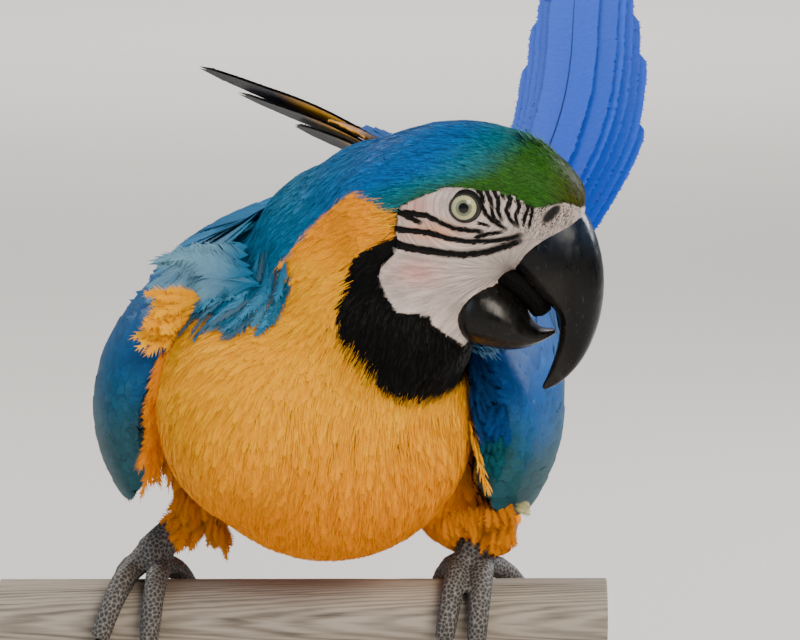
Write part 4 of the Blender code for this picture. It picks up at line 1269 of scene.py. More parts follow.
class MACAW_OT_bill(bpy.types.Operator):
    """Upper and lower mandible and tongue"""

    bl_idname = "macaw.bill"
    bl_label = "Bill"

    def execute(self, context):
        item, f, u = self.mandible("upper_mandible")
        points = read(item.data.vertices, "co")
        points[:, 2] -= ease(-u, 38, 76) * 0.0034
        move_points(item.data, points)
        # Painted reflection: a blue-grey sky sheen on the upper part of the upper mandible, toward its front
        painted_sheen = ease(u, -26, -6) * ease(f, 24, 40) * 0.55
        colour = blend(linear("#050506"), linear("#16263a"), painted_sheen)
        worn = ease(-u, 24, 34) * ease(45 - f, 0, 8) * 0.15
        set_colour(item, blend(colour, linear("#48423b"), worn))
        finish(item, HORN, ["upper_mandible"])

        item, f, u = self.mandible("lower_mandible")
        set_colour(item, blend(linear("#0b0a09"), linear("#48423b"), ease(-u, 52, 60) * 0.3))
        finish(item, HORN, ["lower_mandible"])

        item = smooth_copy("tongue_flesh", ["tongue"], 0.0005, 4, swell=0.0022)
        set_colour(item, linear("#090807"))
        set_vector(item, "folds", read(item.data.vertices, "co") * 900)
        finish(item, "dry_dark_tongue", ["tongue"])
        return {"FINISHED"}

    def mandible(self, node):
        """One half of the bill, and how far forward and up each of its points lies in the head's frame."""
        item = smooth_copy(node + "_horn", [node], 0.0005, 12, 0.0003, 2)
        f, _, u = to_head(read(item.data.vertices, "co")).T
        return item, f, u


def spin(name, profile, count, centre, axis, up):
    """A body turned round an axis: profile holds (height, radius) from the pole out."""
    across = axis.cross(up).normalized()
    rise = across.cross(axis).normalized()
    points = []
    for height, radius in profile:
        for k in range(count):
            a = 2 * math.pi * k / count
            points.append(centre + axis * height + (across * math.cos(a) + rise * math.sin(a)) * radius)
    return build_mesh(name, [tuple(p) for p in points], belt(np.arange((len(profile) - 1) * count), count))


class MACAW_OT_eyes(bpy.types.Operator):
    """Eyeballs with a bulging cornea, and the dark rims of the lids"""

    bl_idname = "macaw.eyes"
    bl_label = "Eyes"

    # in mm: the eyeball, how far the cornea stands out of it, and the reach that the iris is measured by
    ball, bulge, iris = 8.15, 0.35, 8.0

    def execute(self, context):
        for side, sign in SIDES.items():
            axis = HEAD_RIGHT * sign
            centre = EYE_CENTRE[side] + Vector(head_way(EYE_SHIFT[0], 0, EYE_SHIFT[1]) * MM)
            self.eyeball(side, centre, axis)
            self.lid(side, centre, axis)
        return {"FINISHED"}

    def eyeball(self, side, centre, axis):
        """A ball whose front bulges; its ring vector holds the way and share out from the pupil."""
        profile = []
        for i in range(49):
            a = math.pi * 0.62 * (i / 48) ** 0.9
            radius = self.ball + self.bulge * math.exp(-((a / 0.5) ** 4))
            profile.append((radius * math.cos(a) * MM, radius * math.sin(a) * MM + 1e-6))
        item = spin(f"eyeball_{side}", profile, 64, centre, axis, UP)
        points = read(item.data.vertices, "co") - np.array(centre)
        outward = points @ np.array(axis)
        flat = points - outward[:, None] * np.array(axis)
        reach = np.linalg.norm(flat, axis=1) / MM / self.iris
        turn = unit(flat)
        set_vector(item, "ring", np.concatenate([turn[:, :1] * 14, turn[:, 2:] * 14, reach[:, None]], 1))
        finish(item, "wet_cornea_over_pale_iris", [f"eye_{side}"])

    def lid(self, side, centre, axis):
        """A warty ring of skin that holds the eyeball; its measures are in mm."""
        rng = np.random.default_rng(5)
        around, section, warts = 120, 14, 26
        forward = axis.cross(UP)
        bumps = np.sin(np.arange(around) * 2 * np.pi * warts / around) * 0.10 + rng.normal(0, 0.04, around)
        points = []
        for k in range(around):
            a = 2 * math.pi * k / around
            out = forward * (math.cos(a) * 1.04) + UP * (math.sin(a) * 0.98)
            for j in range(section):
                b = 2 * math.pi * j / section
                thick = 0.46 + bumps[k] * 0.8
                reach = 5.22 + thick * math.cos(b) * 1.1
                height = 6.20 + thick * math.sin(b) * 0.95 - 0.25 * (reach - 5.4)
                points.append(centre + (out * reach + axis * height) * MM)
        faces = belt(np.arange(len(points)), section, flip=True) % len(points)
        item = build_mesh(f"eyelid_{side}", [tuple(p) for p in points], faces)
        set_colour(item, linear("#1d1c1c"))
        finish(item, SCALES)


class MACAW_OT_face_feathers(bpy.types.Operator):
    """Lines of tiny black feathers on the bare face, and bristles round the nostril"""

    bl_idname = "macaw.face_feathers"
    bl_label = "Face feathers"

    def execute(self, context):
        rng = np.random.default_rng(21)
        rows = []
        for sign in (-1, 1):
            for width, line in FACE_LINES:
                rows += self.row(width, np.array(line), sign, rng)
            rows += self.bristles(sign, rng)
        starts, ways, measures = (np.array(column) for column in zip(*rows))
        inward = -unit((starts - on_head(0, 0, 0)) @ HEAD_AXES.T[:, 1:2] @ HEAD_AXES[1:2])
        surface = Surface(bpy.data.objects["skin"])
        roots, faces, kept = surface.cast(starts, inward)
        count = len(roots)
        ways = unit(ways[kept] + rng.normal(0, 0.12, (count, 3)))
        vary = rng.normal(1, 0.15, (count, 3)).clip(0.6, 1.5)
        lengths, widths, rises = (measures[kept] * vary * MM).T
        lines, ups = surface.run(roots, ways, lengths, 3)
        dark = tiled(colours().bib_black, count)
        feathers(
            "face_feathers", lines, ups, widths, rises, (dark, dark * 1.3), vane(3, 0.6),
            surface.map[faces], 22, 1.0, 0.05, 0.3, look=SHORT,
        )
        return {"FINISHED"}

    def row(self, width, line, sign, rng):
        """One line's feathers: where each starts beside the head, its way and its sizes in mm."""
        pitch = 0.42
        found = []
        run = np.concatenate([[0], np.cumsum(np.linalg.norm(np.diff(line, axis=0), axis=1))])
        forward = line[0][0] < line[-1][0]
        steep = abs(line[0][1] - line[-1][1]) > abs(line[0][0] - line[-1][0])
        for s in np.arange(0, run[-1], pitch):
            wide = width * (1.15 - 0.5 * s / run[-1]) * (1 + rng.normal(0, 0.12))
            for lane in np.arange(-wide / 2 + 0.2, wide / 2, pitch):
                f, u = (np.interp(s, run, line[:, k]) for k in (0, 1))
                ahead = [np.interp(s + 0.5, run, line[:, k]) - v for k, v in ((0, f), (1, u))]
                way = unit(np.array([-ahead[0], -ahead[1]]) if forward else np.array(ahead))
                if steep:
                    way = way if way[1] > 0 else -way
                off = lane + rng.normal(0, 0.16)
                f, u = f - way[1] * off + rng.normal(0, 0.12), u + way[0] * off
                found.append((on_head(f, 40 * sign, u), head_way(way[0], 0, way[1]), (1.9, 0.5, 0.28)))
        return found

    def bristles(self, sign, rng):
        """Short bristles on the cere, thickest round the nostril, none inside it."""
        found = []
        for _ in range(1500):
            f, u = rng.uniform(24, 47), rng.uniform(-14, 1)
            if not inside(np.array([f]), np.array([u]), FACE_OUTLINE)[0]:
                continue
            near = math.exp(-(((f - NOSTRIL[0]) / 8) ** 2) - ((u - NOSTRIL[1]) / 6) ** 2)
            if nostril_depth(np.array([f]), np.array([u]))[0] > 0.3 or rng.random() > 0.25 + 0.75 * near:
                continue
            found.append((on_head(f, 40 * sign, u), head_way(0.5, 0, 0.8), (0.75, 0.26, 0.25)))
        return found


# Loose tufts beside the wings: from, to, way, length and width (mm), how many, colour name and brightness,
# which is painted shade on rows under 1 and painted light on rows over 1
TUFTS = (
    ((-0.0470, 0.016, 0.2600), (-0.0500, 0.018, 0.2440), (-0.9, -0.15, 0.0), 19, 7, 40, "breast_gold", 1.0),
    ((-0.0530, 0.014, 0.2580), (-0.0560, 0.016, 0.2460), (-0.8, -0.15, -0.40), 10, 6, 30, "breast_gold", 1.0),
    ((-0.06, 0.016, 0.24), (-0.062, 0.021, 0.198), (-0.3, -0.1, -1.0), 17, 5, 46, "belly_orange", 0.9),
    ((-0.056, 0.022, 0.24), (-0.06, 0.028, 0.198), (-0.25, 0.1, -1.0), 17, 6, 30, "belly_orange", 0.55),
    ((0.0628, 0.0096, 0.2100), (0.0692, 0.0126, 0.1840), (0.28, -0.06, -1.0), 6, 0.8, 50, "breast_gold", 1.1),
    ((0.0650, 0.0100, 0.2440), (0.0650, 0.0110, 0.2130), (0.25, -0.10, -1.0), 11, 3.6, 50, "wing_blue", 0.4),
    ((0.0770, 0.0108, 0.2165), (0.0762, 0.0112, 0.2070), (-0.25, 0.08, -1.0), 7, 4.4, 44, "wing_blue", 0.62),
    ((0.0735, 0.0124, 0.2165), (0.0728, 0.0130, 0.2070), (-0.25, 0.08, -1.0), 7, 4.4, 44, "wing_blue", 0.55),
    ((0.0764, 0.0111, 0.2070), (0.0750, 0.0122, 0.1960), (-0.25, 0.08, -1.0), 7, 4.4, 44, "wing_teal", 1.35),
    ((0.0728, 0.0129, 0.2070), (0.0712, 0.0141, 0.1950), (-0.25, 0.08, -1.0), 7, 4.4, 44, "wing_teal", 1.25),
    ((-0.054, 0.031, 0.179), (-0.036, 0.025, 0.165), (-0.12, 0.12, -1.0), 9, 4.2, 90, "belly_orange", 0.52),
    ((-0.049, 0.035, 0.174), (-0.043, 0.03, 0.164), (-0.75, 0.05, -0.62), 13, 5.0, 60, "belly_orange", 0.6),
    ((-0.05, 0.05, 0.174), (-0.044, 0.056, 0.164), (-0.75, -0.05, -0.62), 13, 5.0, 40, "belly_orange", 0.5),
    ((0.0735, 0.035, 0.165), (0.0795, 0.037, 0.167), (-0.1, 0.1, -1.0), 11, 4.0, 60, "belly_orange", 0.6),
    ((0.052, 0.026, 0.169), (0.079, 0.031, 0.173), (0.12, 0.12, -1.0), 8, 3.6, 110, "belly_orange", 0.52),
    ((0.0810, 0.032, 0.1708), (0.0830, 0.033, 0.1700), (1.0, -0.15, 0.10), 6.5, 3.2, 8, "iris_pale", 1.2),
)


class MACAW_OT_tufts(bpy.types.Operator):
    """Yellow tufts and strips that hang between the breast and the folded wings"""

    bl_idname = "macaw.tufts"
    bl_label = "Tufts"

    def execute(self, context):
        rng = np.random.default_rng(81)
        tone = colours()
        parts = []
        for start, end, way, length, width, count, colour, painted_light_level in TUFTS:
            start, end = np.array(start), np.array(end)
            ways = unit(np.array(way) + rng.normal(0, 0.22, (count, 3)))
            root = start + (end - start) * rng.random((count, 1)) + rng.normal(0, 0.00023 * width, (count, 3))
            size = length * MM * rng.normal(1, 0.15, count)
            facing = unit(np.array((way[0] * 0.4, -1.0, 0.15)) + rng.normal(0, 0.15, (count, 3)))
            facing = unit(square_to(facing, ways))
            steps = shares(5)
            sag = np.array((0, 0, -0.25)) * size[:, None, None] * steps**2
            bulge = facing[:, None] * (np.sin(steps * 2.2) * 0.0016)
            line = straight(root, ways, size, 5) + sag + bulge
            widths = width * MM * rng.normal(1, 0.12, count)
            # Painted light and shade: the row's colour is scaled by its brightness
            shade = tiled(np.array(getattr(tone, colour)) * painted_light_level, count)
            parts.append((line, np.repeat(facing[:, None], 5, axis=1), widths, shade))
        lines, ups, widths, shades = (np.concatenate(x) for x in zip(*parts))
        surface = Surface(bpy.data.objects["skin"])
        _, _, faces = surface.nearest(lines[:, 0])
        feathers(
            "loose_gold_tufts", lines, ups, widths, 0.0008, (shades * 0.8, shades), vane(18, 0.3, 0.32),
            surface.map[faces], 82, 1.2, 0.05, 0.3, look=SOFT,
        )
        return {"FINISHED"}


# ------------------------------------------------------------------ wings
# Sections from the wrist back toward the tips, as (dorsal edge, bulge, ventral edge)
WING_SECTIONS = {
    "left": (
        ((0.067, 0.014, 0.236), (0.079, 0.010, 0.212), (0.069, 0.016, 0.187)),
        ((0.066, 0.024, 0.251), (0.0895, 0.020, 0.209), (0.0745, 0.028, 0.169)),
        ((0.060, 0.054, 0.275), (0.099, 0.058, 0.219), (0.0875, 0.056, 0.1655)),
        ((0.053, 0.092, 0.288), (0.099, 0.098, 0.230), (0.094, 0.094, 0.177)),
        ((0.045, 0.128, 0.2955), (0.0965, 0.136, 0.2435), (0.0945, 0.130, 0.197)),
        ((0.033, 0.158, 0.301), (0.086, 0.170, 0.265), (0.090, 0.166, 0.226)),
        ((0.018, 0.195, 0.306), (0.058, 0.208, 0.287), (0.074, 0.210, 0.256)),
        ((-0.002, 0.222, 0.312), (0.028, 0.238, 0.302), (0.048, 0.243, 0.279)),
    ),
    "right": (
        ((-0.054, 0.024, 0.242), (-0.070, 0.018, 0.214), (-0.066, 0.024, 0.188)),
        ((-0.052, 0.036, 0.260), (-0.083, 0.034, 0.218), (-0.075, 0.040, 0.173)),
        ((-0.046, 0.068, 0.272), (-0.089, 0.072, 0.222), (-0.080, 0.072, 0.171)),
        ((-0.034, 0.108, 0.278), (-0.085, 0.118, 0.231), (-0.077, 0.118, 0.180)),
        ((-0.020, 0.150, 0.280), (-0.070, 0.164, 0.241), (-0.064, 0.164, 0.196)),
        ((-0.004, 0.190, 0.281), (-0.044, 0.208, 0.251), (-0.042, 0.210, 0.214)),
        ((0.012, 0.228, 0.281), (-0.016, 0.248, 0.258), (-0.018, 0.252, 0.230)),
        ((0.026, 0.262, 0.279), (0.008, 0.284, 0.264), (0.004, 0.288, 0.244)),
    ),
}
WING_WAY_OUT = np.array((0.005, 0.09, 0.215))
# The way that the primaries step across, and whether each lies above or below the one before
PRIMARY_FAN = {"left": ((0.75, 0.35, -0.55), -1), "right": ((0.60, -0.20, 0.75), 1)}
WING_TIPS = {
    "left": (
        (0.034, 0.214, 0.2975), (0.006, 0.246, 0.3085), (-0.026, 0.278, 0.3175), (-0.057, 0.305, 0.3265),
    ),
    "right": ((-0.006, 0.258, 0.24), (0.008, 0.294, 0.249), (0.021, 0.328, 0.258), (0.032, 0.356, 0.264)),
}


def wing_point(side, s, t):
    """A point of the folded wing's outer face: s from wrist to tips, t from dorsal to ventral edge."""
    s, t = np.broadcast_arrays(np.atleast_1d(s), t)
    flat = [np.concatenate(row) for row in WING_SECTIONS[side]]
    rows = catmull(flat, s * (len(flat) - 1))
    dorsal, bulge, ventral = rows[:, 0:3], rows[:, 3:6], rows[:, 6:9]
    return arc(dorsal, bulge * 2 - (dorsal + ventral) / 2, ventral, t[:, None])


def wing_frame(side, s, t):
    """Outer-face points with their outward normals and the way toward the tip."""
    step = 0.01
    s, t = np.broadcast_arrays(np.atleast_1d(s), t)
    here = wing_point(side, s, t)
    along = unit(wing_point(side, s + step, t) - wing_point(side, s - step, t))
    down = wing_point(side, s, np.clip(t + step, 0, 1)) - wing_point(side, s, np.clip(t - step, 0, 1))
    out = unit(np.cross(along, unit(down)))
    flip = np.sign(((here - WING_WAY_OUT) * out).sum(1, keepdims=True))
    return here, out * flip, along


def wing_lines(side, s0, s1, t0, t1, stations):
    """Centre lines over the outer face from (s0, t0) to (s1, t1), with their normals."""
    found = []
    for k in range(stations):
        a = k / (stations - 1)
        found.append(wing_frame(side, s0 + (s1 - s0) * a, t0 + (t1 - t0) * a)[:2])
    return (np.stack(rows, 1) for rows in zip(*found))


# Rows from front to back: root s, reach in s, feather width (mm), how many across, rise (mm), barbs
COVERT_ROWS = [
    *[(0.004 + 0.0185 * i, 0.046 + 0.005 * i, 5.6 + 0.42 * i, 26 - i, 0.7 + 0.03 * i, 12) for i in range(14)],
    (0.275, 0.130, 12.5, 14, 1.3, 22),
    (0.320, 0.155, 14.0, 13, 1.4, 22),
    (0.370, 0.200, 16.0, 12, 1.5, 30),
    (0.435, 0.260, 18.0, 11, 1.6, 30),
]


def wing_colour(side, s, t, tone, rng):
    """Blue near the back, dark teal low down, and a front rim made paler by a painted highlight."""
    low = ease(t, 0.35, 0.85) if side == "left" else 0.35 + 0.65 * ease(t, 0.10, 0.80)
    colour = blend(tone.wing_blue, tone.wing_teal, low)
    colour = blend(colour, tone.wing_rim_highlight, 0.10 * (1 - ease(s, 0.04, 0.22)) * ease(t, 0.2, 0.5))
    return colour * (1 + rng.normal(0, 0.07, (len(t), 1)))


class MACAW_OT_wings(bpy.types.Operator):
    """Folded wings: a bed of skin, rows of coverts, and long flight feathers"""

    bl_idname = "macaw.wings"
    bl_label = "Wings"

    # the middle of the back, from which the scapulars spring
    back = np.array((0.020, 0.10, 0.262))
    # ahead of this y the lining's feathers are small
    front = 0.060

    def execute(self, context):
        for side, seed in (("left", 31), ("right", 32)):
            rng = np.random.default_rng(seed)
            self.lining(side, self.bed(side))
            self.coverts(side, rng)
            self.scapulars(side, rng)
            self.cover(side)
            self.secondaries(side)
            self.primaries(side)
        return {"FINISHED"}

    def bed(self, side):
        """What shows of the wing's inner face, gold toward its front edge and olive behind."""
        tone = colours()
        item = smooth_copy(f"wing_{side}_bed", [f"wing_{side}"], 0.0016, 3)
        points = read(item.data.vertices, "co")
        normals = read(item.data.vertices, "normal")
        outer = ease(((points - WING_WAY_OUT) * normals).sum(1), -0.005, 0.005)
        # 1 where the wing is thick, 0 in its thin rear end, where a deep bed would turn inside out
        thick = 1 - ease(points[:, 1:2], 0.165, 0.195)
        sunk = 0.0008 + 0.0006 * thick + 0.0024 * thick * ease(normals[:, 2:], 0.3, 0.8)
        points = points - normals * sunk
        move_points(item.data, points)
        # Painted shade: the bed's outer face, under the coverts, is wing blue at half brightness
        colour = blend(tone.under_gold, np.array(tone.wing_blue) * 0.5, outer)
        if side == "left":
            inner = (1 - thick[:, 0]) * ease(-normals[:, 1], -0.1, 0.2)
            colour = blend(colour, np.array(tone.breast_gold) * 0.8, inner)
        set_colour(item, colour)
        set_vector(item, "folds", points * 400)
        return finish(item, SKIN, [f"wing_{side}"])

    def lining(self, side, bed):
        """Short feathers where the bed lies open below the outer face: blue near it, gold deep inside."""
        tone = colours()
        surface = Surface(bed)
        grid_s, grid_t = (g.ravel() for g in np.meshgrid(np.linspace(0, 0.5, 60), np.linspace(0, 1, 60)))
        tree = point_tree(wing_point(side, grid_s, grid_t))
        found = [tree.find(c) for c in surface.centres]
        depth = np.array([gap for _, _, gap in found])
        edge = grid_t[[i for _, i, _ in found]]
        y = surface.centres[:, 1]
        wanted = (depth > 0.0021) & (y < 0.17) & ((edge < 0.94) | (depth > 0.007))
        roots, faces = surface.scatter(np.where(y < self.front, 0.0023, 0.0050), wanted, 34)
        rng = np.random.default_rng(36)
        count = len(roots)
        _, up, _ = surface.nearest(roots)
        _, (out,), (along,) = wing_frame(side, 0.08, 0.5)
        deep = depth[faces]
        turned = ease(-(up @ along), 0.05, 0.6)[:, None]
        sense = np.where(deep < 0.0095, 1.0, -1.0)[:, None]
        way = along * (1.1 - turned) + out * sense * turned - np.array((0, 0, 0.22))
        way = unit(square_to(way, up) + rng.normal(0, 0.08, (count, 3)))
        size = np.where(roots[:, 1] < self.front, 1.0, 2.2)
        lines, ups = surface.run(roots, way, 0.0072 * size)
        t = grid_t[[tree.find(p)[1] for p in roots]]
        blue = wing_colour(side, 0.1, t, tone, rng)
        gold = tiled(tone.breast_gold, count) * rng.normal(0.8, 0.1, (count, 1))
        gold = blend(gold, tone.under_gold, ease(roots[:, 1], 0.045, 0.09))
        inner = (deep > 0.0125) & (t > 0.35) & (roots[:, 1] < 0.13)
        tips = blend(blue, gold, inner.astype(float))
        rises = np.interp(deep, (0.002, 0.010), (0.0025, 0.0009))
        feathers(
            f"wing_{side}_lining", lines, ups, 0.0046 * size, rises, (tips * 0.95, tips),
            vane(12, 0.5, 0.24), surface.map[faces], 37, 1.0, 0.03, 0.6,
        )

    def coverts(self, side, rng):
        """Rows of coverts over the outer face, one piece for each number of barbs."""
        groups = {}
        for row, (s, reach, width, count, rise, barbs) in enumerate(COVERT_ROWS):
            t = (np.arange(count) + (0.5 if row % 2 else 0.0) + 0.25) / (count + 0.5)
            t = np.clip(t + rng.normal(0, 0.010, count), 0.005, 0.995)
            s0 = s + rng.normal(0, 0.006, count)
            s1 = s0 + reach * rng.normal(1, 0.07, count)
            groups.setdefault(barbs, []).append((s0, s1, t, np.full(count, width), np.full(count, rise)))
        for barbs, rows in groups.items():
            s0, s1, t, width, rise = (np.concatenate(x) for x in zip(*rows))
            drift = rng.normal(0, 0.012, len(t))
            lines, ups = wing_lines(side, s0, s1, t, np.clip(t + drift, 0, 1), 5)
            width = width * rng.normal(1, 0.06, len(width)) * MM
            tips = wing_colour(side, s1, t, colours(), rng)
            feathers(
                f"wing_{side}_coverts_{barbs}", lines, ups, width, rise * MM, (tips * 0.75, tips),
                vane(barbs, 0.8, 0.16), np.stack([s0, t], 1) * 0.9 + 0.05, 33, 0.7, 0.04, 0.1, 0.32,
            )

    def scapulars(self, side, rng):
        """Broad soft feathers that spring from the back and lie over the wing's upper edge."""
        tone = colours()
        counts = (20, 18, 14)
        ends = ((0.0, 0.60), (0.02, 0.58), (0.0, 0.5))
        s0 = np.concatenate([np.linspace(*pair, count) for pair, count in zip(ends, counts)])
        reach = np.repeat((0.10, 0.17, 0.25), counts)
        over = np.repeat((0.10, 0.19, 0.27), counts)
        count = len(s0)
        s0 = s0 + rng.normal(0, 0.008, count)
        edge, out, _ = wing_frame(side, s0.clip(0, 1), 0.02)
        root = self.back + (edge - self.back) * 0.66
        root[:, 1] = edge[:, 1] - 0.006
        root[:, 2] = np.maximum(root[:, 2], edge[:, 2] - 0.001) + 0.001
        end, end_out, _ = wing_frame(side, (s0 + reach).clip(0, 1), over)
        steps = shares(7)
        edge, end = edge + out * 0.0036, end + end_out * 0.0026
        lines = arc(root[:, None], edge[:, None], end[:, None], steps)
        ups = unit(np.array((0, 0, 1.0)) * (1 - steps) + end_out[:, None] * steps)
        tips = tiled(blend(tone.back_blue, tone.wing_blue, 0.4), count)
        tips = tips * (1 + rng.normal(0, 0.07, (count, 1)))
        tips = blend(tips, wing_colour(side, s0, over, tone, rng), 0.6 * ease(over, 0.12, 0.22))
        # Painted highlight: the front scapulars of the first rows are lightened toward the rim highlight, as
        # if sunlit
        tips = blend(tips, tone.wing_rim_highlight, 0.35 * (1 - ease(s0, 0.10, 0.40)) * (1 - ease(over, 0.12, 0.20)))
        patches = np.stack([s0 * 0.9 + 0.05, over * 0.9 + 0.03], 1)
        feathers(
            f"wing_{side}_scapulars", lines, ups, rng.normal(0.0165, 0.001, count), 0.0008,
            (tips * 0.8, tips), vane(34, 0.6, 0.22), patches, 35, 1.1, 0.05, 0.4,
        )

    def cover(self, side):
        """Soft feathers from the skin of the back, which close the gap between back and wing."""
        tone = colours()
        rng = np.random.default_rng(38)
        skin = Surface(bpy.data.objects["skin"])
        ahead = 0.17 if side == "left" else 0.0
        s0 = np.concatenate([np.linspace(ahead, 0.72, 26), np.linspace(ahead + 0.02, 0.70, 22)])
        deep = np.repeat((0.06, 0.0), (26, 22))
        count = len(s0)
        s0 = (s0 + rng.normal(0, 0.008, count)).clip(0, 1)
        edge, out, _ = wing_frame(side, s0, 0.03)
        ends, end_out, _ = wing_frame(side, (s0 + 0.09).clip(0, 1), 0.10 + deep)
        places = []
        for share, behind in ((0.30, 0.018), (0.66, 0.009)):
            place = self.back + (edge - self.back) * share
            place[:, 1] = edge[:, 1] - behind
            place[:, 2] = edge[:, 2] + 0.02
            here, up, _ = skin.nearest(place)
            places.append((here + up * 0.0035, up))
        (a, a_up), (b, _) = places
        steps = shares(8)
        c, d = edge + out * 0.0062, ends + end_out * 0.0044
        if side == "right":
            # the first four lie forward over the shoulder
            c[:4], d[:4] = (-0.048, 0.036, 0.2775), (-0.0670, 0.030, 0.2700)
        lines = a[:, None] * (1 - steps) ** 3 + b[:, None] * 3 * steps * (1 - steps) ** 2
        lines = lines + c[:, None] * 3 * steps**2 * (1 - steps) + d[:, None] * steps**3
        ups = unit(a_up[:, None] * (1 - steps) + end_out[:, None] * steps)
        tips = tiled(blend(tone.back_blue, tone.wing_blue, 0.3), count)
        tips = tips * (1 + rng.normal(0, 0.08, (count, 1)))
        # Painted highlight: the cover feathers near the wrist are lightened toward the rim highlight, as if
        # sunlit
        tips = blend(tips, tone.wing_rim_highlight, 0.62 * (1 - ease(s0, 0.06, 0.36)))
        patches = np.stack([s0 * 0.9 + 0.05, deep + 0.03], 1)
        feathers(
            f"wing_{side}_scapular_cover", lines, ups, rng.normal(0.0150, 0.001, count), 0.0008,
            (tiled(tone.back_blue, count), tips), vane(34, 0.5, 0.24), patches, 39, 1.2, 0.05, 0.4, look=SOFT,
        )

    def secondaries(self, side):
        """Secondaries and inner primaries over the wing's rear half."""
        rng = np.random.default_rng(41)
        count = 12
        t = np.linspace(0.05, 0.93, count)
        s0, s1 = np.linspace(0.52, 0.44, count), np.linspace(0.92, 1.0, count)
        lines, ups = wing_lines(side, s0, s1, t, np.linspace(0.12, 0.82, count), 14)
        tips = wing_colour(side, s1, t, colours(), rng)
        patches = np.stack([s0, t], 1) * 0.9 + 0.05
        feathers(
            f"wing_{side}_secondaries", lines, ups, 0.021, np.linspace(0.0030, 0.0012, count),
            (tips * 0.8, tips * 0.85), vane(70, 0.94, 0.07, flight), patches, 42, 0.5, 0.04, 0.6,
        )
        shafts(f"wing_{side}_quills", lines, ups, 0.0006, 0.0009, colours().flight_dark, patches)

    def primaries(self, side):
        """The longest primaries, which reach past the body of the wing: dark above, gold below."""
        tone = colours()
        across, stack = PRIMARY_FAN[side]
        count = 3
        lines, ups = [], []
        for k in range(count):
            line = smooth_line(WING_TIPS[side], 40)[: round(40 * (1 - 0.16 * k))]
            line = smooth_line(line[::3], 12)
            _, sideways, up = frames_of(line, unit(np.array(across)))
            lines.append(line + sideways * 0.0092 * k + up * stack * 0.0026 * k)
            ups.append(up)
        lines, ups = np.array(lines), np.array(ups)
        width = 0.0235
        dark = tiled(tone.flight_dark, count)
        root = tiled(np.array(tone.wing_blue) * 0.6, count)
        gold = tiled(tone.under_gold, count)
        solids = [f"wing_{side}_primary_{k + 1}" for k in range(count)]
        patches = np.stack([np.linspace(0.3, 0.7, count), np.full(count, 0.97)], 1)
        shape = vane(80, 0.95, 0.05, blade)
        feathers(
            f"wing_{side}_primaries", lines, ups, width, 0.0005, (root, dark), shape, patches,
            43, 0.4, 0.03, 0.9, solids=solids,
        )
        # Painted light: the underside is painted 2.2 times as bright as under gold at its root, and its dark
        # tips 1.5 times, for the sun on and through it
        feathers(
            f"wing_{side}_primaries_under", lines, -ups, width * 0.95, 0.0006, (gold * 2.2, dark * 1.5),
            shape, patches + 0.01, 43, 0.4, -0.03, 0.9, 0.03, (0.30, 0.62),
        )
        shafts(f"wing_{side}_primary_quills", lines, ups, 0.0008, 0.0002, tone.flight_dark, patches)


# ------------------------------------------------------------------ tail
TAIL_LENGTHS = (0.440, 0.425, 0.390, 0.350, 0.305, 0.235)
TAIL_SPREAD = (0.0045, 0.0080, 0.0115, 0.0150, 0.0185, 0.0215)
TAIL_LINE = (
    (0.048, 0.150, 0.2330), (0.064, 0.190, 0.2440), (0.084, 0.235, 0.2640), (0.102, 0.285, 0.2880),
    (0.113, 0.330, 0.3080), (0.119, 0.375, 0.3270), (0.122, 0.420, 0.3450), (0.125, 0.465, 0.3610),
    (0.128, 0.510, 0.3760), (0.131, 0.570, 0.3950),
)
TAIL_SIDE = np.array((0.93, -0.36, 0.0))
TAIL_PITCH, TAIL_ROOF, TAIL_FEATHER_WIDTH = 0.00095, 0.25, 0.025


class MACAW_OT_tail(bpy.types.Operator):
    """Twelve graduated tail feathers, blue above and gold below, with their shafts"""

    bl_idname = "macaw.tail"
    bl_label = "Tail"

    def execute(self, context):
        tone = colours()
        lines, ups, solids = self.fan()
        count = len(lines)
        tips = tiled(tone.tail_blue, count)
        violet = blend(tips, tone.tail_violet, 0.5)
        gold = tiled(tone.under_gold, count)
        places = np.stack([np.linspace(0.05, 0.95, count), np.full(count, 0.5)], 1)
        width = TAIL_FEATHER_WIDTH
        shape = vane(150, 0.95, 0.03, flight)
        feathers(
            "tail_upper_webs", lines, ups, width, 0.0003, (violet, tips), shape, places,
            51, 0.35, 0.03, 1.0, 0.15, solids=solids,
        )
        feathers(
            "tail_under_webs", lines, -ups, width * 0.95, 0.0002, (gold, gold * 0.9), shape, places,
            51, 0.1, -0.03, 1.0,
        )
        shafts("tail_quills", lines, ups, 0.0008, 0.0001, np.array(tone.tail_blue) * 0.25, places)
        return {"FINISHED"}

    def fan(self):
        """Centre lines, normals and solids of the feathers, the longest on top, each pair under the last."""
        spine = smooth_line(TAIL_LINE, 60)
        _, across, up = frames_of(spine, unit(TAIL_SIDE))
        run = np.concatenate([[0], np.cumsum(np.linalg.norm(np.diff(spine, axis=0), axis=1))])
        lines, ups, solids = [], [], []
        for k in range(6):
            at = np.linspace(0, TAIL_LENGTHS[k], 24)
            place, sideways, rise = (
                np.stack([np.interp(at, run, rows[:, c]) for c in range(3)], 1)
                for rows in (spine, across, up)
            )
            for layer, sign, side in ((2 * k, -1, "right"), (2 * k + 1, 1, "left")):
                out = (sign * TAIL_SPREAD[k] * (0.45 + 0.55 * np.minimum(1, at / 0.20)))[:, None]
                reach = np.hypot(out, 0.025)
                lines.append(place + sideways * out - rise * (layer * TAIL_PITCH + TAIL_ROOF * reach))
                ups.append(unit(rise + sideways * TAIL_ROOF * out / reach))
                solids.append(f"tail_feather_{side}_{k + 1}")
        return np.array(lines), np.array(ups), solids


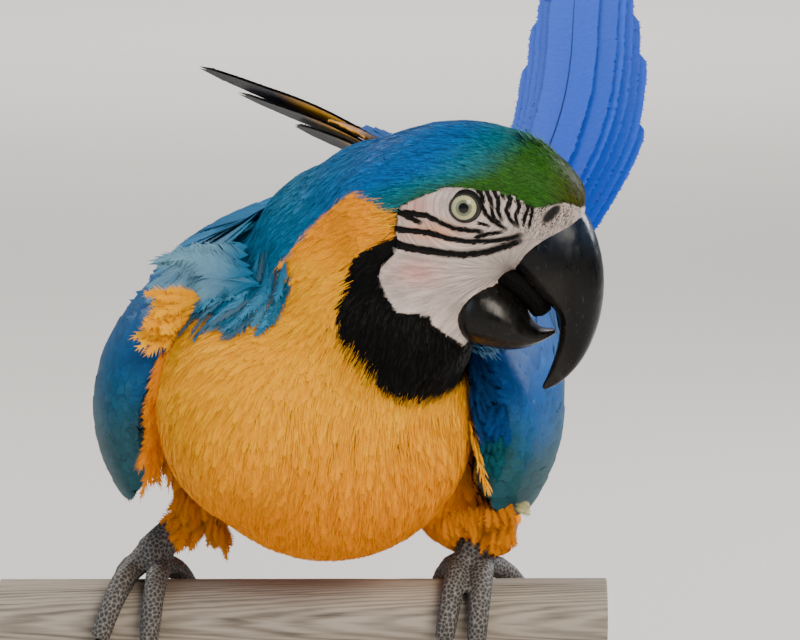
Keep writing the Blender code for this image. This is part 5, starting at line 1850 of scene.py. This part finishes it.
# ------------------------------------------------------------------ feet, branch, stand
class MACAW_OT_feet(bpy.types.Operator):
    """Scaly feet and horn claws"""

    bl_idname = "macaw.feet"
    bl_label = "Feet"

    def execute(self, context):
        for side in SIDES:
            self.scales(side)
            for k in range(1, 5):
                node = f"claw_{side}_{k}"
                claw = smooth_copy(node + "_horn", [node], 0.0005, 2, 0.0002, 2)
                set_colour(claw, linear("#161514"))
                finish(claw, HORN, [node])
        return {"FINISHED"}

    def scales(self, side):
        """A foot whose rounded scales stand out of the paler skin between them."""
        item = smooth_copy(f"foot_{side}_scales", [f"foot_{side}"], 0.00048, 8)
        surface = Surface(item)
        cells, _ = surface.scatter(0.00135, np.ones(len(surface.areas), bool), 61)
        tree = point_tree(cells)
        near, next_near = np.array([[gap for _, _, gap in tree.find_n(p, 2)] for p in surface.points]).T
        # how far inside its scale a point lies, as a share of the scale's size
        margin = (next_near - near) / (next_near + near) * 2
        raised = ease(margin, 0.05, 0.55)
        move_points(item.data, surface.points + surface.normals * ((raised - 1) * 0.00035)[:, None])
        set_colour(item, blend(linear("#7d7a76"), linear("#302e2d"), raised))
        finish(item, SCALES, [f"foot_{side}"])


class MACAW_OT_branch(bpy.types.Operator):
    """Grey weathered branch with long cracks and sawn ends"""

    bl_idname = "macaw.branch"
    bl_label = "Branch"

    # how the branch leans toward the back and up along its length
    slope_y, slope_z = -0.008 / 0.25, 0.002 / 0.25
    bark_radius, crack_depth = 0.0157, 0.0009

    def execute(self, context):
        low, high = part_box("perch")
        length, around = 260, 120
        x = np.linspace(low.x, high.x, length)
        turn = np.arange(around) * 2 * np.pi / around
        radius = self.bark_radius - self.crack_depth * np.clip(self.cracks(length, turn), 0, 1.3)
        middle = (x - (low.x + high.x) / 2)[:, None]
        y = (low.y + high.y) / 2 + self.slope_y * middle + radius * np.cos(turn)
        z = (low.z + high.z) / 2 + self.slope_z * middle + radius * np.sin(turn)
        points = np.stack([np.repeat(x, around), y.ravel(), z.ravel()], 1)
        faces = belt(np.arange((length - 1) * around), around, woven=False)
        points, faces = capped(points, faces, around, (0, length - 1), (1, -1))
        item = build_mesh("weathered_branch", points, faces)
        finish(item, "weathered_grey_branch_wood", ["perch"])
        return {"FINISHED"}

    def cracks(self, length, turn):
        """How deep the bark is cracked at each station and turn."""
        rng = np.random.default_rng(71)
        share = np.linspace(0, 1, length)
        grain = np.zeros((length, len(turn)))
        for _ in range(26):
            at, wide, deep = rng.uniform(0, 2 * np.pi), rng.uniform(0.02, 0.07), rng.uniform(0.2, 0.7)
            start, stop = np.sort(rng.uniform(-0.2, 1.2, 2))
            along = ease(share, start, start + 0.1) * (1 - ease(share, stop - 0.1, stop))
            drift = at + 0.25 * np.sin(share * rng.uniform(2, 7) + rng.uniform(0, 6))
            gap = np.angle(np.exp(1j * (turn[None] - drift[:, None])))
            grain += deep * along[:, None] * np.exp(-((gap / wide) ** 2))
        return grain


class MACAW_OT_stand(bpy.types.Operator):
    """Oiled oak base and two brushed steel rods"""

    bl_idname = "macaw.stand"
    bl_label = "Stand"

    corner, edge, rod_edge = 0.016, 0.0022, 0.0003

    def execute(self, context):
        self.base(*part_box("stand_base"))
        for k in (1, 2):
            self.rod(k, *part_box(f"stand_rod_{k}"))
        return {"FINISHED"}

    def base(self, low, high):
        """A board with round corners, and its upper edge rounded."""
        top = high.z - low.z
        # height of each ring, and how far it lies inside the widest one, as a share of the edge
        levels = [(0.0, 0.6), (0.0006, 0.1), (0.0012, 0.0)]
        for k in range(6):
            a = math.pi / 2 * k / 5
            levels.append((top - self.edge + self.edge * math.sin(a), 1 - math.cos(a)))
        points = []
        for z, share in levels:
            reach = self.corner - self.edge * share
            for sx, sy, turn in ((1, 1, 0), (-1, 1, 90), (-1, -1, 180), (1, -1, 270)):
                cx = (low.x + high.x) / 2 + sx * ((high.x - low.x) / 2 - self.corner)
                cy = (low.y + high.y) / 2 + sy * ((high.y - low.y) / 2 - self.corner)
                for step in range(13):
                    a = math.radians(turn + step * 7.5)
                    points.append((cx + reach * math.cos(a), cy + reach * math.sin(a), low.z + z))
        ring, last = 52, len(levels) - 1
        faces = belt(np.arange(last * ring), ring, flip=True)
        points, faces = capped(np.array(points), faces, ring, (0, last), (-1, 1))
        item = build_mesh("stand_oak_base", points, faces)
        item.data.set_sharp_from_angle(angle=math.radians(35))
        finish(item, "oiled_oak", ["stand_base"])

    def rod(self, k, low, high):
        """A steel rod whose lower edge is broken a little."""
        radius, length = (high.x - low.x) / 2, high.z - low.z
        edge = self.rod_edge
        profile = [(length, 1e-5), (length, radius), (edge, radius), (0, radius - edge), (0, 1e-5)]
        centre = Vector(((low.x + high.x) / 2, (low.y + high.y) / 2, low.z))
        item = spin(f"stand_steel_rod_{k}", profile, 48, centre, UP, Vector((0, 1, 0)))
        item.data.set_sharp_from_angle(angle=math.radians(35))
        finish(item, "brushed_stainless_steel", [f"stand_rod_{k}"])


class MACAW_OT_stage(bpy.types.Operator):
    """Pale floor and backdrop, soft studio lights and the camera"""

    bl_idname = "macaw.stage"
    bl_label = "Stage"

    lights = (
        # name, place, aim, size, power, colour
        ("key", (1.0, -1.7, 1.5), (0.02, 0.0, 0.24), 1.1, 62, "#fff3e2"),
        ("sky_fill", (-1.6, -1.1, 0.9), (0.0, 0.05, 0.25), 1.4, 15, "#e6efff"),
        ("sun_from_behind", (-1.1, 1.0, 1.7), (0.0, 0.1, 0.27), 0.5, 36, "#fff6ea"),
        ("edge", (1.3, 0.9, 0.9), (0.0, 0.1, 0.25), 0.6, 24, "#eef4ff"),
        ("backdrop", (0.0, 4.5, 2.8), (0.0, 5.6, 0.0), 3.0, 190, "#fffdf8"),
    )

    def execute(self, context):
        scene = context.scene
        self.floor()
        self.sky(scene)
        for light in self.lights:
            self.lamp(scene, *light)
        self.camera(scene)
        return {"FINISHED"}

    def floor(self):
        """A wide flat disc."""
        around = 64
        turns = np.arange(around) * math.pi / 32
        points = [(0.0, 0.0, 0.0)]
        points += [(r * math.cos(a), r * math.sin(a), 0.0) for r in (1.5, 14.0) for a in turns]
        disc = [(0, 1 + k, 1 + (k + 1) % around) for k in range(around)]
        faces = np.concatenate([disc, belt(1 + np.arange(around), around, first=1)])
        item = build_mesh("studio_floor", points, faces)
        item.data.materials.append(material_of("pale_studio_paper"))

    def sky(self, scene):
        """An even cool light from all around."""
        world = bpy.data.worlds.new("soft_sky")
        scene.world = world
        world.use_nodes = True
        inputs = world.node_tree.nodes["Background"].inputs
        inputs["Color"].default_value = (*linear("#dfe6f0"), 1)
        inputs["Strength"].default_value = 0.28

    def lamp(self, scene, name, place, aim, size, power, colour):
        """A square soft light at the place, turned to the aim."""
        lamp = bpy.data.lights.new(name, "AREA")
        lamp.size = size
        lamp.energy = power
        lamp.color = linear(colour)
        item = bpy.data.objects.new(name, lamp)
        item.location = place
        item.rotation_euler = (Vector(aim) - Vector(place)).to_track_quat("-Z", "Y").to_euler()
        scene.collection.objects.link(item)

    def camera(self, scene):
        """A long lens that looks a little down on the bird from in front."""
        lens = bpy.data.cameras.new("portrait_lens")
        lens.lens = 225.0
        lens.sensor_width = 36.0
        camera = bpy.data.objects.new("camera", lens)
        tilt, reach = math.radians(8), 2.0
        camera.location = (0.035, -reach * math.cos(tilt), 0.2522 + reach * math.sin(tilt))
        camera.rotation_euler = (math.radians(90) - tilt, 0, 0)
        scene.collection.objects.link(camera)
        scene.camera = camera


class MACAW_PT_panel(bpy.types.Panel):
    """Lists the steps and settings of the macaw"""

    bl_idname = "MACAW_PT_panel"
    bl_label = "Macaw"
    bl_space_type = "VIEW_3D"
    bl_region_type = "UI"
    bl_category = "Macaw"

    def draw(self, context):
        for group in (context.scene.macaw_sizes, context.scene.macaw_colours):
            box = self.layout.box()
            for name in group.bl_rna.properties.keys():
                if name not in ("rna_type", "name"):
                    box.prop(group, name)
        for step in STEPS:
            self.layout.operator(step.bl_idname)


STEPS = (
    MACAW_OT_skin,
    MACAW_OT_coat,
    MACAW_OT_face_feathers,
    MACAW_OT_bill,
    MACAW_OT_eyes,
    MACAW_OT_wings,
    MACAW_OT_tufts,
    MACAW_OT_tail,
    MACAW_OT_feet,
    MACAW_OT_branch,
    MACAW_OT_stand,
    MACAW_OT_stage,
)
CLASSES = (MacawColours, MacawSizes, *STEPS, MACAW_PT_panel)


def register():
    for item in CLASSES:
        bpy.utils.register_class(item)
    bpy.types.Scene.macaw_colours = bpy.props.PointerProperty(type=MacawColours)
    bpy.types.Scene.macaw_sizes = bpy.props.PointerProperty(type=MacawSizes)


def unregister():
    del bpy.types.Scene.macaw_sizes
    del bpy.types.Scene.macaw_colours
    for item in reversed(CLASSES):
        bpy.utils.unregister_class(item)


def main():
    for item in list(bpy.context.scene.objects):
        if item.name in ("Cube", "Light", "Camera"):
            bpy.data.objects.remove(item, do_unlink=True)
    register()
    for step in STEPS:
        group, name = step.bl_idname.split(".")
        getattr(getattr(bpy.ops, group), name)()


if __name__ == "__main__":
    main()
